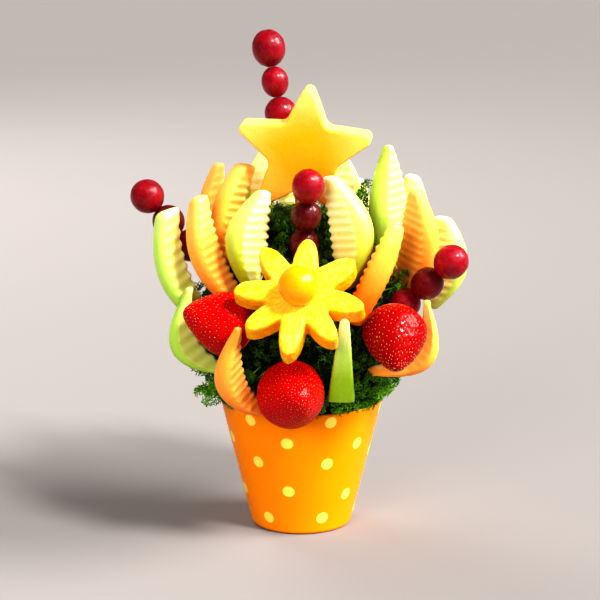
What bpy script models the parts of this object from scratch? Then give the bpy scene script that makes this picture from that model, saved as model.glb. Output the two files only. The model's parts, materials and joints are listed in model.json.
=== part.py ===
"""A fruit bouquet in a small tapered pot.

Crinkle-cut honeydew and cantaloupe wedges, strawberries, rows of grapes on bamboo
skewers, a star and a daisy are set in a mound of curly parsley that fills the pot.
Metres, +Z up. The origin is the centre of the pot's flat underside, and the front of
the bouquet faces -Y. Places and sizes in the tables below are in millimetres.
"""

import math
import random
from typing import NamedTuple

import bmesh
import bpy
from mathutils import Matrix, Vector, noise

MM = 0.001

# Driving sizes of the pot.
POT_HEIGHT = 90.0
POT_RIM_RADIUS = 56.0
POT_FOOT_RADIUS = 34.0
POT_WALL = 2.4
POT_FLOOR = 4.0
POT_STEPS = 36

# The mound: radius and height of its outline above the rim.
MOUND = ((57.0, 93.5), (63.0, 102.0), (67.5, 116.0), (69.0, 134.0), (68.0, 152.0), (64.0, 168.0),
         (57.0, 184.0), (45.0, 200.0), (28.0, 213.0), (12.0, 219.0))
MOUND_TOP = 220.0
MOUND_STEPS = 22
MOUND_BUMP = 2.6

# Gap between pieces that touch, and between a piece and the pocket it sits in.
TOUCH = 0.3
POCKET_GAP = 0.5

# Crinkle cut: distance from ridge to ridge, and half of a ridge's height.
CRINKLE_PITCH = 8.0
CRINKLE_HEIGHT = 0.95

SKEWER_RADIUS = 1.5
SKEWER_IN_MOUND = 18.0

# Facets round the grapes and strawberries, and from end to end.
GRAPE_SIDES = 12
GRAPE_RINGS = 7
BERRY_SIDES = 12
BERRY_RINGS = 9

# A strawberry's taper towards its tip, where that starts, and where its shoulders are,
# as shares of its half length.
BERRY_TAPER = 0.38
BERRY_WIDEST = 0.3
BERRY_SHOULDER = 0.8

LEAF_COUNT = 46
LEAF_THICKNESS = 1.3
LEAF_DEPTH = 3.5
LEAF_LOWEST = 97.0
LEAF_HIGHEST = 212.0
GOLDEN_ANGLE = 137.508
LEAF_SEED = 11


class Wedge(NamedTuple):
    """A melon wedge: its two ends, the way its peel side faces, and its sizes."""

    fruit: str
    foot: tuple
    tip: tuple
    peel: tuple
    width: float = 22.0
    thick: float = 17.0
    arch: float = 8.0
    foot_end: float = 0.55
    tip_end: float = 0.4
    crinkle: float = CRINKLE_HEIGHT


WEDGES = {
    "honeydew_left_outer": Wedge("honeydew", (-61, -24, 146), (-87.5, -36, 222), (-0.93, -0.35, 0),
                                 18.0, 16.0, 11.0, 0.6, 0.85),
    "honeydew_left_low": Wedge("honeydew", (-47, -42, 117), (-73.5, -46, 172.5), (-0.95, -0.3, -0.2),
                               17.0, 15.0, 19.0, 0.5, 0.35),
    "honeydew_centre_left": Wedge("honeydew", (-31, -46, 176), (-25, -42, 236), (-0.92, -0.4, 0),
                                  25.0, 18.0, 8.0, 0.6, 0.4),
    "honeydew_centre_right": Wedge("honeydew", (28, -46, 175), (18, -42, 245.5), (0.92, -0.4, 0),
                                   26.0, 18.0, 10.0, 0.5, 0.42),
    "honeydew_right_tall": Wedge("honeydew", (60.2, -5.8, 177), (58, -9, 261), (-0.85, -0.52, 0),
                                 24.5, 16.5, 0.5, 0.9, 0.25),
    "honeydew_right_back": Wedge("honeydew", (59, 13, 172), (75, 8, 238.5), (0.95, -0.2, 0.1),
                                 22.0, 17.0, 7.0, 0.6, 0.45),
    "honeydew_right_outer": Wedge("honeydew", (89, -7, 154), (94.5, -7, 212.5), (0.97, -0.25, 0),
                                  21.0, 16.0, 8.0, 0.4, 0.6),
    "honeydew_spear": Wedge("honeydew", (26, -62, 107.5), (27.2, -98, 164), (0.0, -0.97, -0.2),
                            15.0, 17.4, 1.0, 1.0, 0.12, 0.2),
    "honeydew_behind_left": Wedge("honeydew", (-22, 14, 203), (-25, 17, 254.5), (-0.95, 0.2, 0),
                                  18.0, 15.0, 5.0, 0.7, 0.4),
    "honeydew_behind_right": Wedge("honeydew", (22, 14, 203), (28, 16, 251), (0.95, 0.2, 0),
                                   18.0, 15.0, 5.0, 0.7, 0.4),
    "honeydew_behind_centre": Wedge("honeydew", (-6, 26, 203), (-10, 36, 250), (-0.1, 0.98, 0.1),
                                    18.0, 16.0, 5.0, 0.7, 0.4),
    "cantaloupe_left": Wedge("cantaloupe", (-44, -38, 165), (-66.5, -43, 232.5), (-0.9, -0.42, 0),
                             19.0, 17.0, 8.0, 0.75, 0.6),
    "cantaloupe_left_back": Wedge("cantaloupe", (-49, 8, 184), (-56, 8, 246.5), (-0.95, -0.2, 0),
                                  17.0, 15.0, 7.0, 0.6, 0.45),
    "cantaloupe_left_tall": Wedge("cantaloupe", (-50, -19, 180), (-37, -12, 249), (-0.8, -0.55, 0.2),
                                  18.5, 15.0, 8.0, 0.6, 0.72),
    "cantaloupe_centre_right": Wedge("cantaloupe", (32.4, -57, 155.3), (61.2, -52.6, 216.5), (0.25, -0.97, 0),
                                     16.0, 17.0, 3.0, 0.75, 0.5),
    "cantaloupe_right": Wedge("cantaloupe", (69, -12, 163), (74.5, -35, 236), (0.85, -0.5, 0),
                              25.0, 17.0, 6.0, 0.5, 0.35),
    "cantaloupe_right_low": Wedge("cantaloupe", (46, -46, 118), (82, -50, 165), (0.75, -0.1, -0.6),
                                  17.0, 16.0, 18.5, 0.45, 0.3),
    "cantaloupe_front_low": Wedge("cantaloupe", (-27, -67, 98), (-40, -92.5, 156.5), (-0.78, -0.6, 0),
                                  17.5, 16.0, 15.0, 0.7, 0.25),
    "cantaloupe_back_left": Wedge("cantaloupe", (-47, 40, 148), (-70, 58, 210), (-0.8, 0.6, 0),
                                  22.0, 17.0, 8.0, 0.6, 0.4),
    "honeydew_back_left": Wedge("honeydew", (-26, 54, 166), (-34, 74, 232), (-0.4, 0.9, 0),
                                22.0, 17.0, 8.0, 0.6, 0.4),
    "cantaloupe_back": Wedge("cantaloupe", (3, 58, 162), (3, 80, 228), (0.0, 1.0, 0),
                             22.0, 17.0, 8.0, 0.6, 0.4),
    "honeydew_back_right": Wedge("honeydew", (31, 52, 162), (40, 72, 226), (0.45, 0.9, 0),
                                 22.0, 17.0, 8.0, 0.6, 0.4),
    "cantaloupe_back_right": Wedge("cantaloupe", (53, 38, 150), (78, 54, 216), (0.8, 0.6, 0),
                                   22.0, 17.0, 8.0, 0.6, 0.4),
}


class GrapeRow(NamedTuple):
    """Grapes threaded on one skewer, from the one nearest the mound outwards."""

    start: tuple
    way: tuple
    grapes: tuple  # (radius across the skewer, half the length along it) of each grape


GRAPE_ROWS = {
    "grapes_top": GrapeRow((-12, 13, 271), (-0.185, 0.06, 1.0),
                           ((10.9, 10.9), (9.1, 10.2), (11.2, 12.4))),
    "grapes_left": GrapeRow((-69, -3, 186), (-0.62, -0.1, 0.78),
                            ((10.4, 10.8), (10.8, 10.8), (11.3, 11.2))),
    "grapes_centre": GrapeRow((1, -38, 193), (0.06, -0.36, 0.93),
                              ((9.8, 10.6), (10.0, 10.6), (10.7, 11.4))),
    "grapes_right": GrapeRow((61.5, -34, 154.5), (0.64, -0.34, 0.69),
                             ((10.4, 10.6), (10.5, 11.3), (11.2, 11.6))),
}


class Strawberry(NamedTuple):
    """A hulled strawberry: its middle, the way its tip points, its radius and half length."""

    middle: tuple
    way: tuple
    radius: float
    half: float


STRAWBERRIES = {
    "strawberry_front": Strawberry((-5.5, -82.8, 111.1), (0.2, -0.95, 0.15), 23.6, 24.5),
    "strawberry_left": Strawberry((-54.2, -70, 157.6), (-0.84, -0.4, 0.34), 22.4, 25.0),
    "strawberry_right": Strawberry((60.1, -75.3, 146.3), (0.0, -0.82, -0.57), 22.0, 25.5),
    "strawberry_back_left": Strawberry((-36, 72, 119), (-0.4, 0.88, -0.2), 20.5, 23.0),
    "strawberry_back_right": Strawberry((38, 72, 118), (0.45, 0.86, -0.2), 21.0, 23.0),
}

# The star: middle of its slab, the way it looks, and the direction and reach of its points.
STAR_MIDDLE = (2, -22, 261)
STAR_FACING = (-0.13, -0.98, -0.1)
STAR_POINTS = ((86, 43.5), (158, 45.5), (230, 45.5), (302, 45.5), (374, 45.5))
STAR_NOTCH_RADIUS = 24.0
STAR_TIP_ROUND = 4.0
STAR_NOTCH_ROUND = 7.0
STAR_THICKNESS = 19.0
STAR_EDGE = 1.6

# The daisy: middle of its slab, the way it looks, and the direction and reach of each
# of its eight uneven petals.
DAISY_MIDDLE = (-1.0, -88, 176.2)
DAISY_FACING = (-0.06, -0.77, 0.635)
DAISY_THICKNESS = 18.0
DAISY_NOTCH_RADIUS = 21.0
DAISY_EDGE = 2.0
PETALS = ((-15, 42.6), (32, 42.3), (82, 40.0), (125, 41.8),
          (175, 42.3), (214, 41.4), (259, 43.5), (304, 40.0))
PETAL_STEPS = 8
PETAL_FULLNESS = 1.4
BALL_RADIUS = 12.7
BALL_FLAT = 9.5

# Skewers that show between the mound and what they hold: inner end and outer end.
SKEWERS = {
    "skewer_star": ((2.5, -17, 200), (2.5, -19.5, 235.4)),
    "skewer_daisy": ((0, -62, 153), (-0.5, -80.8, 170.2)),
    "skewer_right_outer": ((52, -6, 147), (86.0, -8.4, 168.9)),
    "skewer_strawberry_right": ((38, -40, 147.5), (47.9, -55.2, 147.5)),
}


def at(spot):
    """A spot given in millimetres, in metres."""
    return Vector(spot) * MM


def clear_scene():
    for old in list(bpy.data.objects):
        bpy.data.objects.remove(old, do_unlink=True)


def new_collection(name):
    group = bpy.data.collections.new(name)
    bpy.context.scene.collection.children.link(group)
    return group


def new_material(name, colour, roughness):
    finish = bpy.data.materials.new(name)
    finish.use_nodes = True
    surface = finish.node_tree.nodes["Principled BSDF"]
    surface.inputs["Base Color"].default_value = (*colour, 1.0)
    surface.inputs["Roughness"].default_value = roughness
    surface.inputs["Metallic"].default_value = 0.0
    finish.diffuse_color = (*colour, 1.0)
    return finish


def add_object(name, mesh, group, finish=None):
    piece = bpy.data.objects.new(name, mesh)
    group.objects.link(piece)
    if finish is not None:
        mesh.materials.clear()
        mesh.materials.append(finish)
    return piece


def mesh_of(shape, name):
    """Turns a bmesh into a mesh, shaded smooth but for its sharp edges."""
    bmesh.ops.recalc_face_normals(shape, faces=shape.faces)
    mesh = bpy.data.meshes.new(name)
    shape.to_mesh(mesh)
    shape.free()
    mesh.shade_smooth()
    mesh.set_sharp_from_angle(angle=math.radians(40))
    return mesh


def evaluated_mesh(piece, name):
    """The mesh that a curve or a piece with modifiers evaluates to, under a new name."""
    graph = bpy.context.evaluated_depsgraph_get()
    mesh = bpy.data.meshes.new_from_object(piece.evaluated_get(graph), depsgraph=graph)
    mesh.name = name
    return mesh


def pose(up, towards):
    """The rotation that turns +Z to up, and +X as nearly as it can to towards."""
    up = Vector(up).normalized()
    towards = Vector(towards)
    across = (towards - towards.dot(up) * up).normalized()
    return Matrix((across, up.cross(across), up)).transposed()


def place(piece, spot, turn):
    """Moves a piece to a spot given in millimetres, turned."""
    piece.location = at(spot)
    piece.rotation_euler = turn.to_euler()
    return piece


def add_pocket(name, shape, spot, turn, pockets):
    """The cutter that leaves room for a piece in the parsley."""
    pocket = add_object(name + "_pocket", mesh_of(shape, name + "_pocket"), pockets)
    pocket.hide_render = True
    pocket.display_type = "WIRE"
    place(pocket, spot, turn)


# ---- melon wedges ------------------------------------------------------------------


def ringed_prism(sides, rings):
    """A prism from z = 0 to 1 with that many evenly spaced rings of corners."""
    shape = bmesh.new()
    bmesh.ops.create_cone(shape, cap_ends=True, segments=sides, radius1=1.0, radius2=1.0, depth=1.0,
                          matrix=Matrix.Translation((0, 0, 0.5)))
    upright = [edge for edge in shape.edges if abs(edge.verts[0].co.z - edge.verts[1].co.z) > 0.5]
    bmesh.ops.subdivide_edges(shape, edges=upright, cuts=rings - 2, use_grid_fill=True)
    return shape


def fullness(along, foot_end, tip_end):
    """Share of the full section at a point along a wedge.

    A wedge thins towards both ends, and one that is cut off square at its foot tapers
    straight from there to its tip.
    """
    if foot_end == 1.0:
        return 1.0 + (tip_end - 1.0) * along
    if along < 0.5:
        return foot_end + (1 - foot_end) * math.sin(math.pi * along)
    return tip_end + (1 - tip_end) * math.sin(math.pi * along)


def wedge_shape(wedge, crinkled=True, grow=0.0):
    """A wedge from its foot at the origin up +Z, its peel side towards +X.

    Each ring has two crown corners on the peel side, two edge corners where the cut
    faces begin, and two corners on the thin inner side. The cut faces carry the
    ridges, one ring on each crest and one in each trough.
    """
    length = (Vector(wedge.tip) - Vector(wedge.foot)).length
    ridges = round(length / CRINKLE_PITCH)
    rings = 2 * ridges + 1 if crinkled else 6
    shape = ringed_prism(6, rings)
    for corner in shape.verts:
        along = corner.co.z
        angle = math.degrees(math.atan2(corner.co.y, corner.co.x))
        rank = round((abs(angle) - 30) / 60)
        side = math.copysign(1, angle)
        full = fullness(along, wedge.foot_end, wedge.tip_end)
        if crinkled:
            ridge = wedge.crinkle * (-1) ** round(along * (rings - 1))
        else:
            ridge = wedge.crinkle
        middle = wedge.arch * (1 - (2 * along - 1) ** 2)
        half_width = wedge.width * full / 2 + grow
        half_thick = wedge.thick * (0.25 + 0.75 * full) / 2 + grow
        if rank == 0:
            corner.co.x = middle + half_width + wedge.thick * full * 0.12
            corner.co.y = side * half_thick * 0.4
        elif rank == 1:
            corner.co.x = middle + half_width
            corner.co.y = side * (half_thick + ridge)
        else:
            corner.co.x = middle - half_width
            corner.co.y = side * (half_thick * 0.45 + ridge)
        corner.co.z = along * length + (2 * along - 1) * grow
    bmesh.ops.scale(shape, vec=(MM, MM, MM), verts=shape.verts)
    return shape


def wedge_pose(wedge):
    return pose(Vector(wedge.tip) - Vector(wedge.foot), wedge.peel)


def add_wedges(group, pockets, finishes):
    for name, wedge in WEDGES.items():
        turn = wedge_pose(wedge)
        piece = add_object(name, mesh_of(wedge_shape(wedge), name), group, finishes[wedge.fruit])
        place(piece, wedge.foot, turn)
        add_pocket(name, wedge_shape(wedge, False, POCKET_GAP), wedge.foot, turn, pockets)


# ---- round fruit -------------------------------------------------------------------


def ball_shape(segments, rings, radii):
    """A ball with the radii given in millimetres."""
    shape = bmesh.new()
    bmesh.ops.create_uvsphere(shape, u_segments=segments, v_segments=rings, radius=1.0)
    bmesh.ops.scale(shape, vec=at(radii), verts=shape.verts)
    return shape


def grape_shape(radius, half):
    return ball_shape(GRAPE_SIDES, GRAPE_RINGS, (radius, radius, half))


def grape_places():
    """Yields each grape's name, middle, direction, radius and half length."""
    for row_name, row in GRAPE_ROWS.items():
        way = Vector(row.way).normalized()
        reached = 0.0
        for number, (radius, half) in enumerate(row.grapes, 1):
            yield f"{row_name}_{number}", Vector(row.start) + way * (reached + half), way, radius, half
            reached += 2 * half + TOUCH


def add_grapes(group, pockets, finish):
    for name, middle, way, radius, half in grape_places():
        turn = pose(way, (0, -1, 0.3))
        place(add_object(name, mesh_of(grape_shape(radius, half), name), group, finish), middle, turn)
        add_pocket(name, grape_shape(radius + POCKET_GAP, half + POCKET_GAP), middle, turn, pockets)


def strawberry_shape(berry, grow=0.0):
    """A hulled strawberry: flat shoulders at -Z and a blunt tip at +Z."""
    radius = berry.radius + grow
    half = berry.half + grow
    shape = ball_shape(BERRY_SIDES, BERRY_RINGS, (radius, radius, half))
    for corner in shape.verts:
        along = corner.co.z / (half * MM)
        taper = 1.0 - BERRY_TAPER * max(0.0, along + BERRY_WIDEST)
        corner.co.x *= taper
        corner.co.y *= taper
        if along < -BERRY_SHOULDER:
            corner.co.z = -(BERRY_SHOULDER + 0.1 * (-BERRY_SHOULDER - along)) * half * MM
    return shape


def add_strawberries(group, pockets, finish):
    for name, berry in STRAWBERRIES.items():
        turn = pose(berry.way, (0, 0, 1))
        place(add_object(name, mesh_of(strawberry_shape(berry), name), group, finish), berry.middle, turn)
        add_pocket(name, strawberry_shape(berry, POCKET_GAP), berry.middle, turn, pockets)


# ---- star and daisy ----------------------------------------------------------------


def polar(radius, degrees):
    angle = math.radians(degrees)
    return Vector((radius * math.cos(angle), radius * math.sin(angle)))


def star_outline(grow=0.0):
    """Five points with a notch between each two, all of them rounded by arcs."""
    outline = []
    for tip, reach in STAR_POINTS:
        for swing in (-60, -20, 20, 60):
            outline.append(polar(reach - STAR_TIP_ROUND, tip) + polar(STAR_TIP_ROUND + grow, tip + swing))
        notch = tip + 36
        for swing in (40, 0, -40):
            middle = polar(STAR_NOTCH_RADIUS + STAR_NOTCH_ROUND, notch)
            outline.append(middle + polar(STAR_NOTCH_ROUND - grow, notch + 180 + swing))
    return outline


def daisy_outline(grow=0.0):
    """Eight petals that narrow to round tips, each as long as the table gives."""
    outline = []
    for number, (middle, reach) in enumerate(PETALS):
        before = PETALS[number - 1][0] - (360 if number == 0 else 0)
        after = PETALS[(number + 1) % len(PETALS)][0] + (360 if number + 1 == len(PETALS) else 0)
        for step in range(1 - PETAL_STEPS // 2, 1 + PETAL_STEPS // 2):
            share = 2 * step / PETAL_STEPS
            half_gap = (after - middle if share > 0 else middle - before) / 2
            swell = max(0.0, math.cos(math.pi / 2 * share)) ** PETAL_FULLNESS
            radius = DAISY_NOTCH_RADIUS + (reach - DAISY_NOTCH_RADIUS) * swell
            outline.append(polar(radius + grow * (2 - swell), middle + half_gap * share))
    return outline


def slab_shape(outline, thickness):
    """A slab of a flat outline, its face towards +Z."""
    curve = bpy.data.curves.new("outline", "CURVE")
    curve.dimensions = "2D"
    curve.fill_mode = "BOTH"
    curve.extrude = thickness / 2 * MM
    line = curve.splines.new("POLY")
    line.points.add(len(outline) - 1)
    line.use_cyclic_u = True
    for point, spot in zip(line.points, outline):
        point.co = (spot.x * MM, spot.y * MM, 0.0, 1.0)
    flat = add_object("outline", curve, bpy.context.scene.collection)
    mesh = evaluated_mesh(flat, "outline")
    bpy.data.objects.remove(flat, do_unlink=True)
    shape = bmesh.new()
    shape.from_mesh(mesh)
    bmesh.ops.remove_doubles(shape, verts=shape.verts, dist=0.01 * MM)
    bmesh.ops.dissolve_limit(shape, angle_limit=math.radians(1), verts=shape.verts, edges=shape.edges)
    return shape


def add_slab(name, outline_of, thickness, edge, middle, facing, group, pockets, finish):
    turn = pose(facing, (1, 0, 0))
    piece = add_object(name, mesh_of(slab_shape(outline_of(), thickness), name), group, finish)
    place(piece, middle, turn)
    ease = piece.modifiers.new("Eased edges", "BEVEL")
    ease.width = edge * MM
    ease.segments = 1
    ease.limit_method = "ANGLE"
    ease.angle_limit = math.radians(60)
    grown = slab_shape(outline_of(POCKET_GAP), thickness + 2 * POCKET_GAP)
    add_pocket(name, grown, middle, turn, pockets)


def add_star_and_daisy(group, pockets, finishes):
    add_slab("melon_star", star_outline, STAR_THICKNESS, STAR_EDGE, STAR_MIDDLE, STAR_FACING,
             group, pockets, finishes["star"])
    add_slab("pineapple_daisy", daisy_outline, DAISY_THICKNESS, DAISY_EDGE, DAISY_MIDDLE, DAISY_FACING,
             group, pockets, finishes["pineapple"])


def add_melon_ball(group, finish):
    """The daisy's middle: a scooped ball, cut flat where it sits on the daisy's face."""
    ball = ball_shape(14, 10, (BALL_RADIUS, BALL_RADIUS, BALL_RADIUS))
    cut = bmesh.ops.bisect_plane(ball, geom=ball.verts[:] + ball.edges[:] + ball.faces[:],
                                 plane_co=(0, 0, -BALL_FLAT * MM), plane_no=(0, 0, -1), clear_outer=True)
    rim = [part for part in cut["geom_cut"] if isinstance(part, bmesh.types.BMEdge)]
    bmesh.ops.contextual_create(ball, geom=rim)
    piece = add_object("melon_ball", mesh_of(ball, "melon_ball"), group, finish)
    facing = Vector(DAISY_FACING).normalized()
    middle = Vector(DAISY_MIDDLE) + facing * (DAISY_THICKNESS / 2 + TOUCH + BALL_FLAT)
    place(piece, middle, pose(facing, (1, 0, 0)))


# ---- skewers -----------------------------------------------------------------------


def skewer_ends():
    """Yields each skewer's name, inner end and outer end, in millimetres."""
    for name, (inner, outer) in SKEWERS.items():
        yield name, Vector(inner), Vector(outer)
    for row_name, row in GRAPE_ROWS.items():
        way = Vector(row.way).normalized()
        start = Vector(row.start)
        surface = start
        while surface.xy.length > mound_radius(surface.z):
            surface = surface - way
        name = row_name.replace("grapes", "skewer_grapes")
        yield name, surface - way * SKEWER_IN_MOUND, start - way * TOUCH


def skewer_shape(radius, length):
    shape = bmesh.new()
    bmesh.ops.create_cone(shape, cap_ends=True, segments=8, radius1=radius * MM, radius2=radius * MM,
                          depth=length * MM)
    return shape


def add_skewers(group, pockets, finish):
    for name, inner, outer in skewer_ends():
        length = (outer - inner).length
        middle = (inner + outer) / 2
        turn = pose(outer - inner, (1, 0.2, 0))
        piece = add_object(name, mesh_of(skewer_shape(SKEWER_RADIUS, length), name), group, finish)
        place(piece, middle, turn)
        grown = skewer_shape(SKEWER_RADIUS + POCKET_GAP, length + 2 * POCKET_GAP)
        add_pocket(name, grown, middle, turn, pockets)


# ---- pot and parsley ---------------------------------------------------------------


def turned(name, profile, steps, group):
    """A turned solid: its profile runs from the axis inside, over the top and down outside."""
    mesh = bpy.data.meshes.new(name)
    corners = [(radius * MM, 0.0, height * MM) for radius, height in profile]
    mesh.from_pydata(corners, [(i, i + 1) for i in range(len(corners) - 1)], [])
    piece = add_object(name, mesh, group)
    screw = piece.modifiers.new("Turn", "SCREW")
    screw.steps = steps
    screw.render_steps = steps
    screw.use_merge_vertices = True
    screw.merge_threshold = 0.00001
    screw.use_smooth_shade = True
    return piece


def wall_radius(height):
    """The pot's outer radius at a height."""
    return POT_FOOT_RADIUS + (POT_RIM_RADIUS - POT_FOOT_RADIUS) * height / POT_HEIGHT


def add_pot(group, finish):
    inner_foot = wall_radius(POT_FLOOR) - POT_WALL
    inner_rim = POT_RIM_RADIUS - POT_WALL
    profile = ((0, POT_FLOOR), (inner_foot, POT_FLOOR), (inner_rim - 0.2, POT_HEIGHT - 1.0),
               (inner_rim + 0.5, POT_HEIGHT), (POT_RIM_RADIUS - 0.6, POT_HEIGHT),
               (POT_RIM_RADIUS, POT_HEIGHT - 0.8), (wall_radius(3.4), 3.4),
               (wall_radius(3.4) - 0.9, 1.0), (wall_radius(0) - 2.6, 0), (0, 0))
    pot = turned("pot", profile, POT_STEPS, group)
    pot.data.materials.append(finish)


def mound_radius(height):
    """The radius of the mound's plain outline at a height, or 0 above and below it."""
    outline = [*MOUND, (0.0, MOUND_TOP)]
    for (low_radius, low), (high_radius, high) in zip(outline, outline[1:]):
        if low <= height <= high:
            return low_radius + (high_radius - low_radius) * (height - low) / (high - low)
    return 0.0


def add_mound(group):
    """The parsley's core: it fills the pot, swells over the rim and rises to a bumpy dome."""
    side_gap = POT_WALL + 2 * POCKET_GAP
    inner_rim = POT_RIM_RADIUS - side_gap
    floor = POT_FLOOR + POCKET_GAP
    outline = [(0, MOUND_TOP), *reversed(MOUND), (inner_rim, POT_HEIGHT + 1.2), (inner_rim, POT_HEIGHT - 2),
               (wall_radius(floor) - side_gap - 0.6, floor), (0, floor)]
    blank = turned("mound_blank", outline, MOUND_STEPS, group)
    mesh = evaluated_mesh(blank, "parsley")
    bpy.data.objects.remove(blank, do_unlink=True)
    for corner in mesh.vertices:
        if corner.co.z > (POT_HEIGHT + 5) * MM:
            away = Vector((corner.co.x, corner.co.y, corner.co.z - 0.14)).normalized()
            corner.co += away * noise.noise(corner.co * 130) * 2 * MOUND_BUMP * MM
    return add_object("parsley", mesh, group)


def leaf_shape(length, width, curl):
    """One frilly leaf from its root at the origin up +Z: a wavy sheet, wide and lobed near its end."""
    shape = bmesh.new()
    bmesh.ops.create_grid(shape, x_segments=2, y_segments=2, size=0.5)
    bmesh.ops.triangulate(shape, faces=shape.faces)
    for corner in shape.verts:
        across = corner.co.x * 2
        along = corner.co.y + 0.5
        spread = width / 2 * (0.28 + 0.72 * math.sin(math.pi * min(1.0, 0.15 + 0.75 * along)))
        lobe = 1.0 + 0.25 * (round(along * 2) % 2) * abs(across)
        frill = 0.16 * width * math.sin(5.5 * along + 2.6 * across)
        corner.co = Vector((across * spread * lobe, frill + curl * along ** 2, length * along)) * MM
    return shape


def fruit_spots():
    """Points along every piece of fruit with the radius kept clear of leaves, in millimetres."""
    spots = []
    for wedge in WEDGES.values():
        turn = wedge_pose(wedge)
        for step in range(7):
            share = step / 6
            bow = turn @ Vector((wedge.arch * (1 - (2 * share - 1) ** 2), 0, 0))
            reach = 0.5 * wedge.width * fullness(share, wedge.foot_end, wedge.tip_end)
            spots.append((Vector(wedge.foot).lerp(Vector(wedge.tip), share) + bow, reach))
    spots += [(middle, radius) for _, middle, _, radius, _ in grape_places()]
    spots += [(Vector(berry.middle), berry.radius + 1) for berry in STRAWBERRIES.values()]
    spots += [(Vector(DAISY_MIDDLE), 40.0), (Vector(STAR_MIDDLE), 30.0)]
    return spots


# Sprigs that stand out of the mound where the bouquet shows them: root, end and width.
SPRIGS = (((36, -8, 207), (46, -14, 241), 15), ((42, 2, 204), (40, 3, 236), 13),
          ((-12, -22, 208), (-17, -30, 226), 16), ((14, -24, 208), (17, -32, 226), 16),
          ((-52, -30, 104), (-70, -34, 101), 19), ((-49, -34, 110), (-63, -42, 95.5), 16),
          ((64, -22, 158), (90, -26, 167), 10), ((46, -36, 97), (55, -37, 104), 14),
          ((-50, -16, 158), (-66, -22, 171), 15),
          ((28, -58, 99), (34, -68, 95.5), 13), ((12, -62, 99), (13, -72, 95.5), 13),
          ((46, -44, 98), (52, -52, 96), 14), ((-19, -58, 99), (-22, -70, 95.5), 13))


def leaf_placings():
    """Yields root, direction, length and width of each leaf, spread evenly where no fruit is."""
    for root, end, width in SPRIGS:
        yield Vector(root), Vector(end) - Vector(root), (Vector(end) - Vector(root)).length, width
    draw = random.Random(LEAF_SEED)
    spots = fruit_spots()
    for number in range(LEAF_COUNT):
        share = (number + 0.5) / LEAF_COUNT
        height = LEAF_LOWEST + (LEAF_HIGHEST - LEAF_LOWEST) * share
        azimuth = math.radians(GOLDEN_ANGLE * number)
        size = draw.uniform(15, 23)
        lean = draw.uniform(0.1, 0.7)
        away = Vector((math.cos(azimuth), math.sin(azimuth), 0))
        root = away * (mound_radius(height) - LEAF_DEPTH) + Vector((0, 0, height))
        way = (away * (1.0 - 0.4 * share) + Vector((0, 0, 0.8 * share + lean))).normalized()
        middle = root + way * size * 0.6
        if all((middle - spot).length > reach + 3 for spot, reach in spots):
            yield root, way, size, size * 0.85


def add_leaves(group):
    draw = random.Random(LEAF_SEED + 1)
    for number, (root, way, length, width) in enumerate(leaf_placings()):
        level = way.cross((0.0, 0.0, 1.0)).normalized()
        across = Matrix.Rotation(draw.uniform(-0.6, 0.6), 3, way) @ level
        shape = leaf_shape(length, width, draw.uniform(-2, 2))
        leaf = add_object(f"leaf_{number}", mesh_of(shape, f"leaf_{number}"), group)
        skin = leaf.modifiers.new("Thickness", "SOLIDIFY")
        skin.thickness = LEAF_THICKNESS * MM
        skin.offset = 0
        place(leaf, root, pose(way, across))


def largest_body(mesh):
    """Drops every part of a mesh that isn't joined to its largest one."""
    shape = bmesh.new()
    shape.from_mesh(mesh)
    bmesh.ops.remove_doubles(shape, verts=shape.verts, dist=0.02 * MM)
    bmesh.ops.triangulate(shape, faces=shape.faces)
    waiting = set(shape.faces)
    bodies = []
    while waiting:
        rim = [waiting.pop()]
        body = set(rim)
        while rim:
            for edge in rim.pop().edges:
                joined = waiting.intersection(edge.link_faces)
                waiting -= joined
                body |= joined
                rim.extend(joined)
        bodies.append(body)
    keep = max(bodies, key=len)
    loose = [face for face in shape.faces if face not in keep]
    bmesh.ops.delete(shape, geom=loose, context="FACES")
    return shape


def apply_boolean(piece, operation, others, name):
    """Joins a collection to a piece, or cuts it from the piece, and returns the new mesh."""
    step = piece.modifiers.new(operation.title(), "BOOLEAN")
    step.operation = operation
    step.operand_type = "COLLECTION"
    step.collection = others
    mesh = evaluated_mesh(piece, name)
    piece.modifiers.clear()
    return mesh


def add_parsley(group, pockets, finish):
    bpy.context.view_layer.update()
    mound = add_mound(group)
    leaves = new_collection("leaves")
    add_leaves(leaves)
    bpy.context.view_layer.update()
    mound.data = apply_boolean(mound, "UNION", leaves, "parsley_leafy")
    for leaf in list(leaves.objects):
        bpy.data.objects.remove(leaf, do_unlink=True)
    bpy.data.collections.remove(leaves)
    bpy.context.view_layer.update()
    mound.data = apply_boolean(mound, "DIFFERENCE", pockets, "parsley_cut")
    mound.data = mesh_of(largest_body(mound.data), "parsley")
    mound.data.materials.append(finish)


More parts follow.
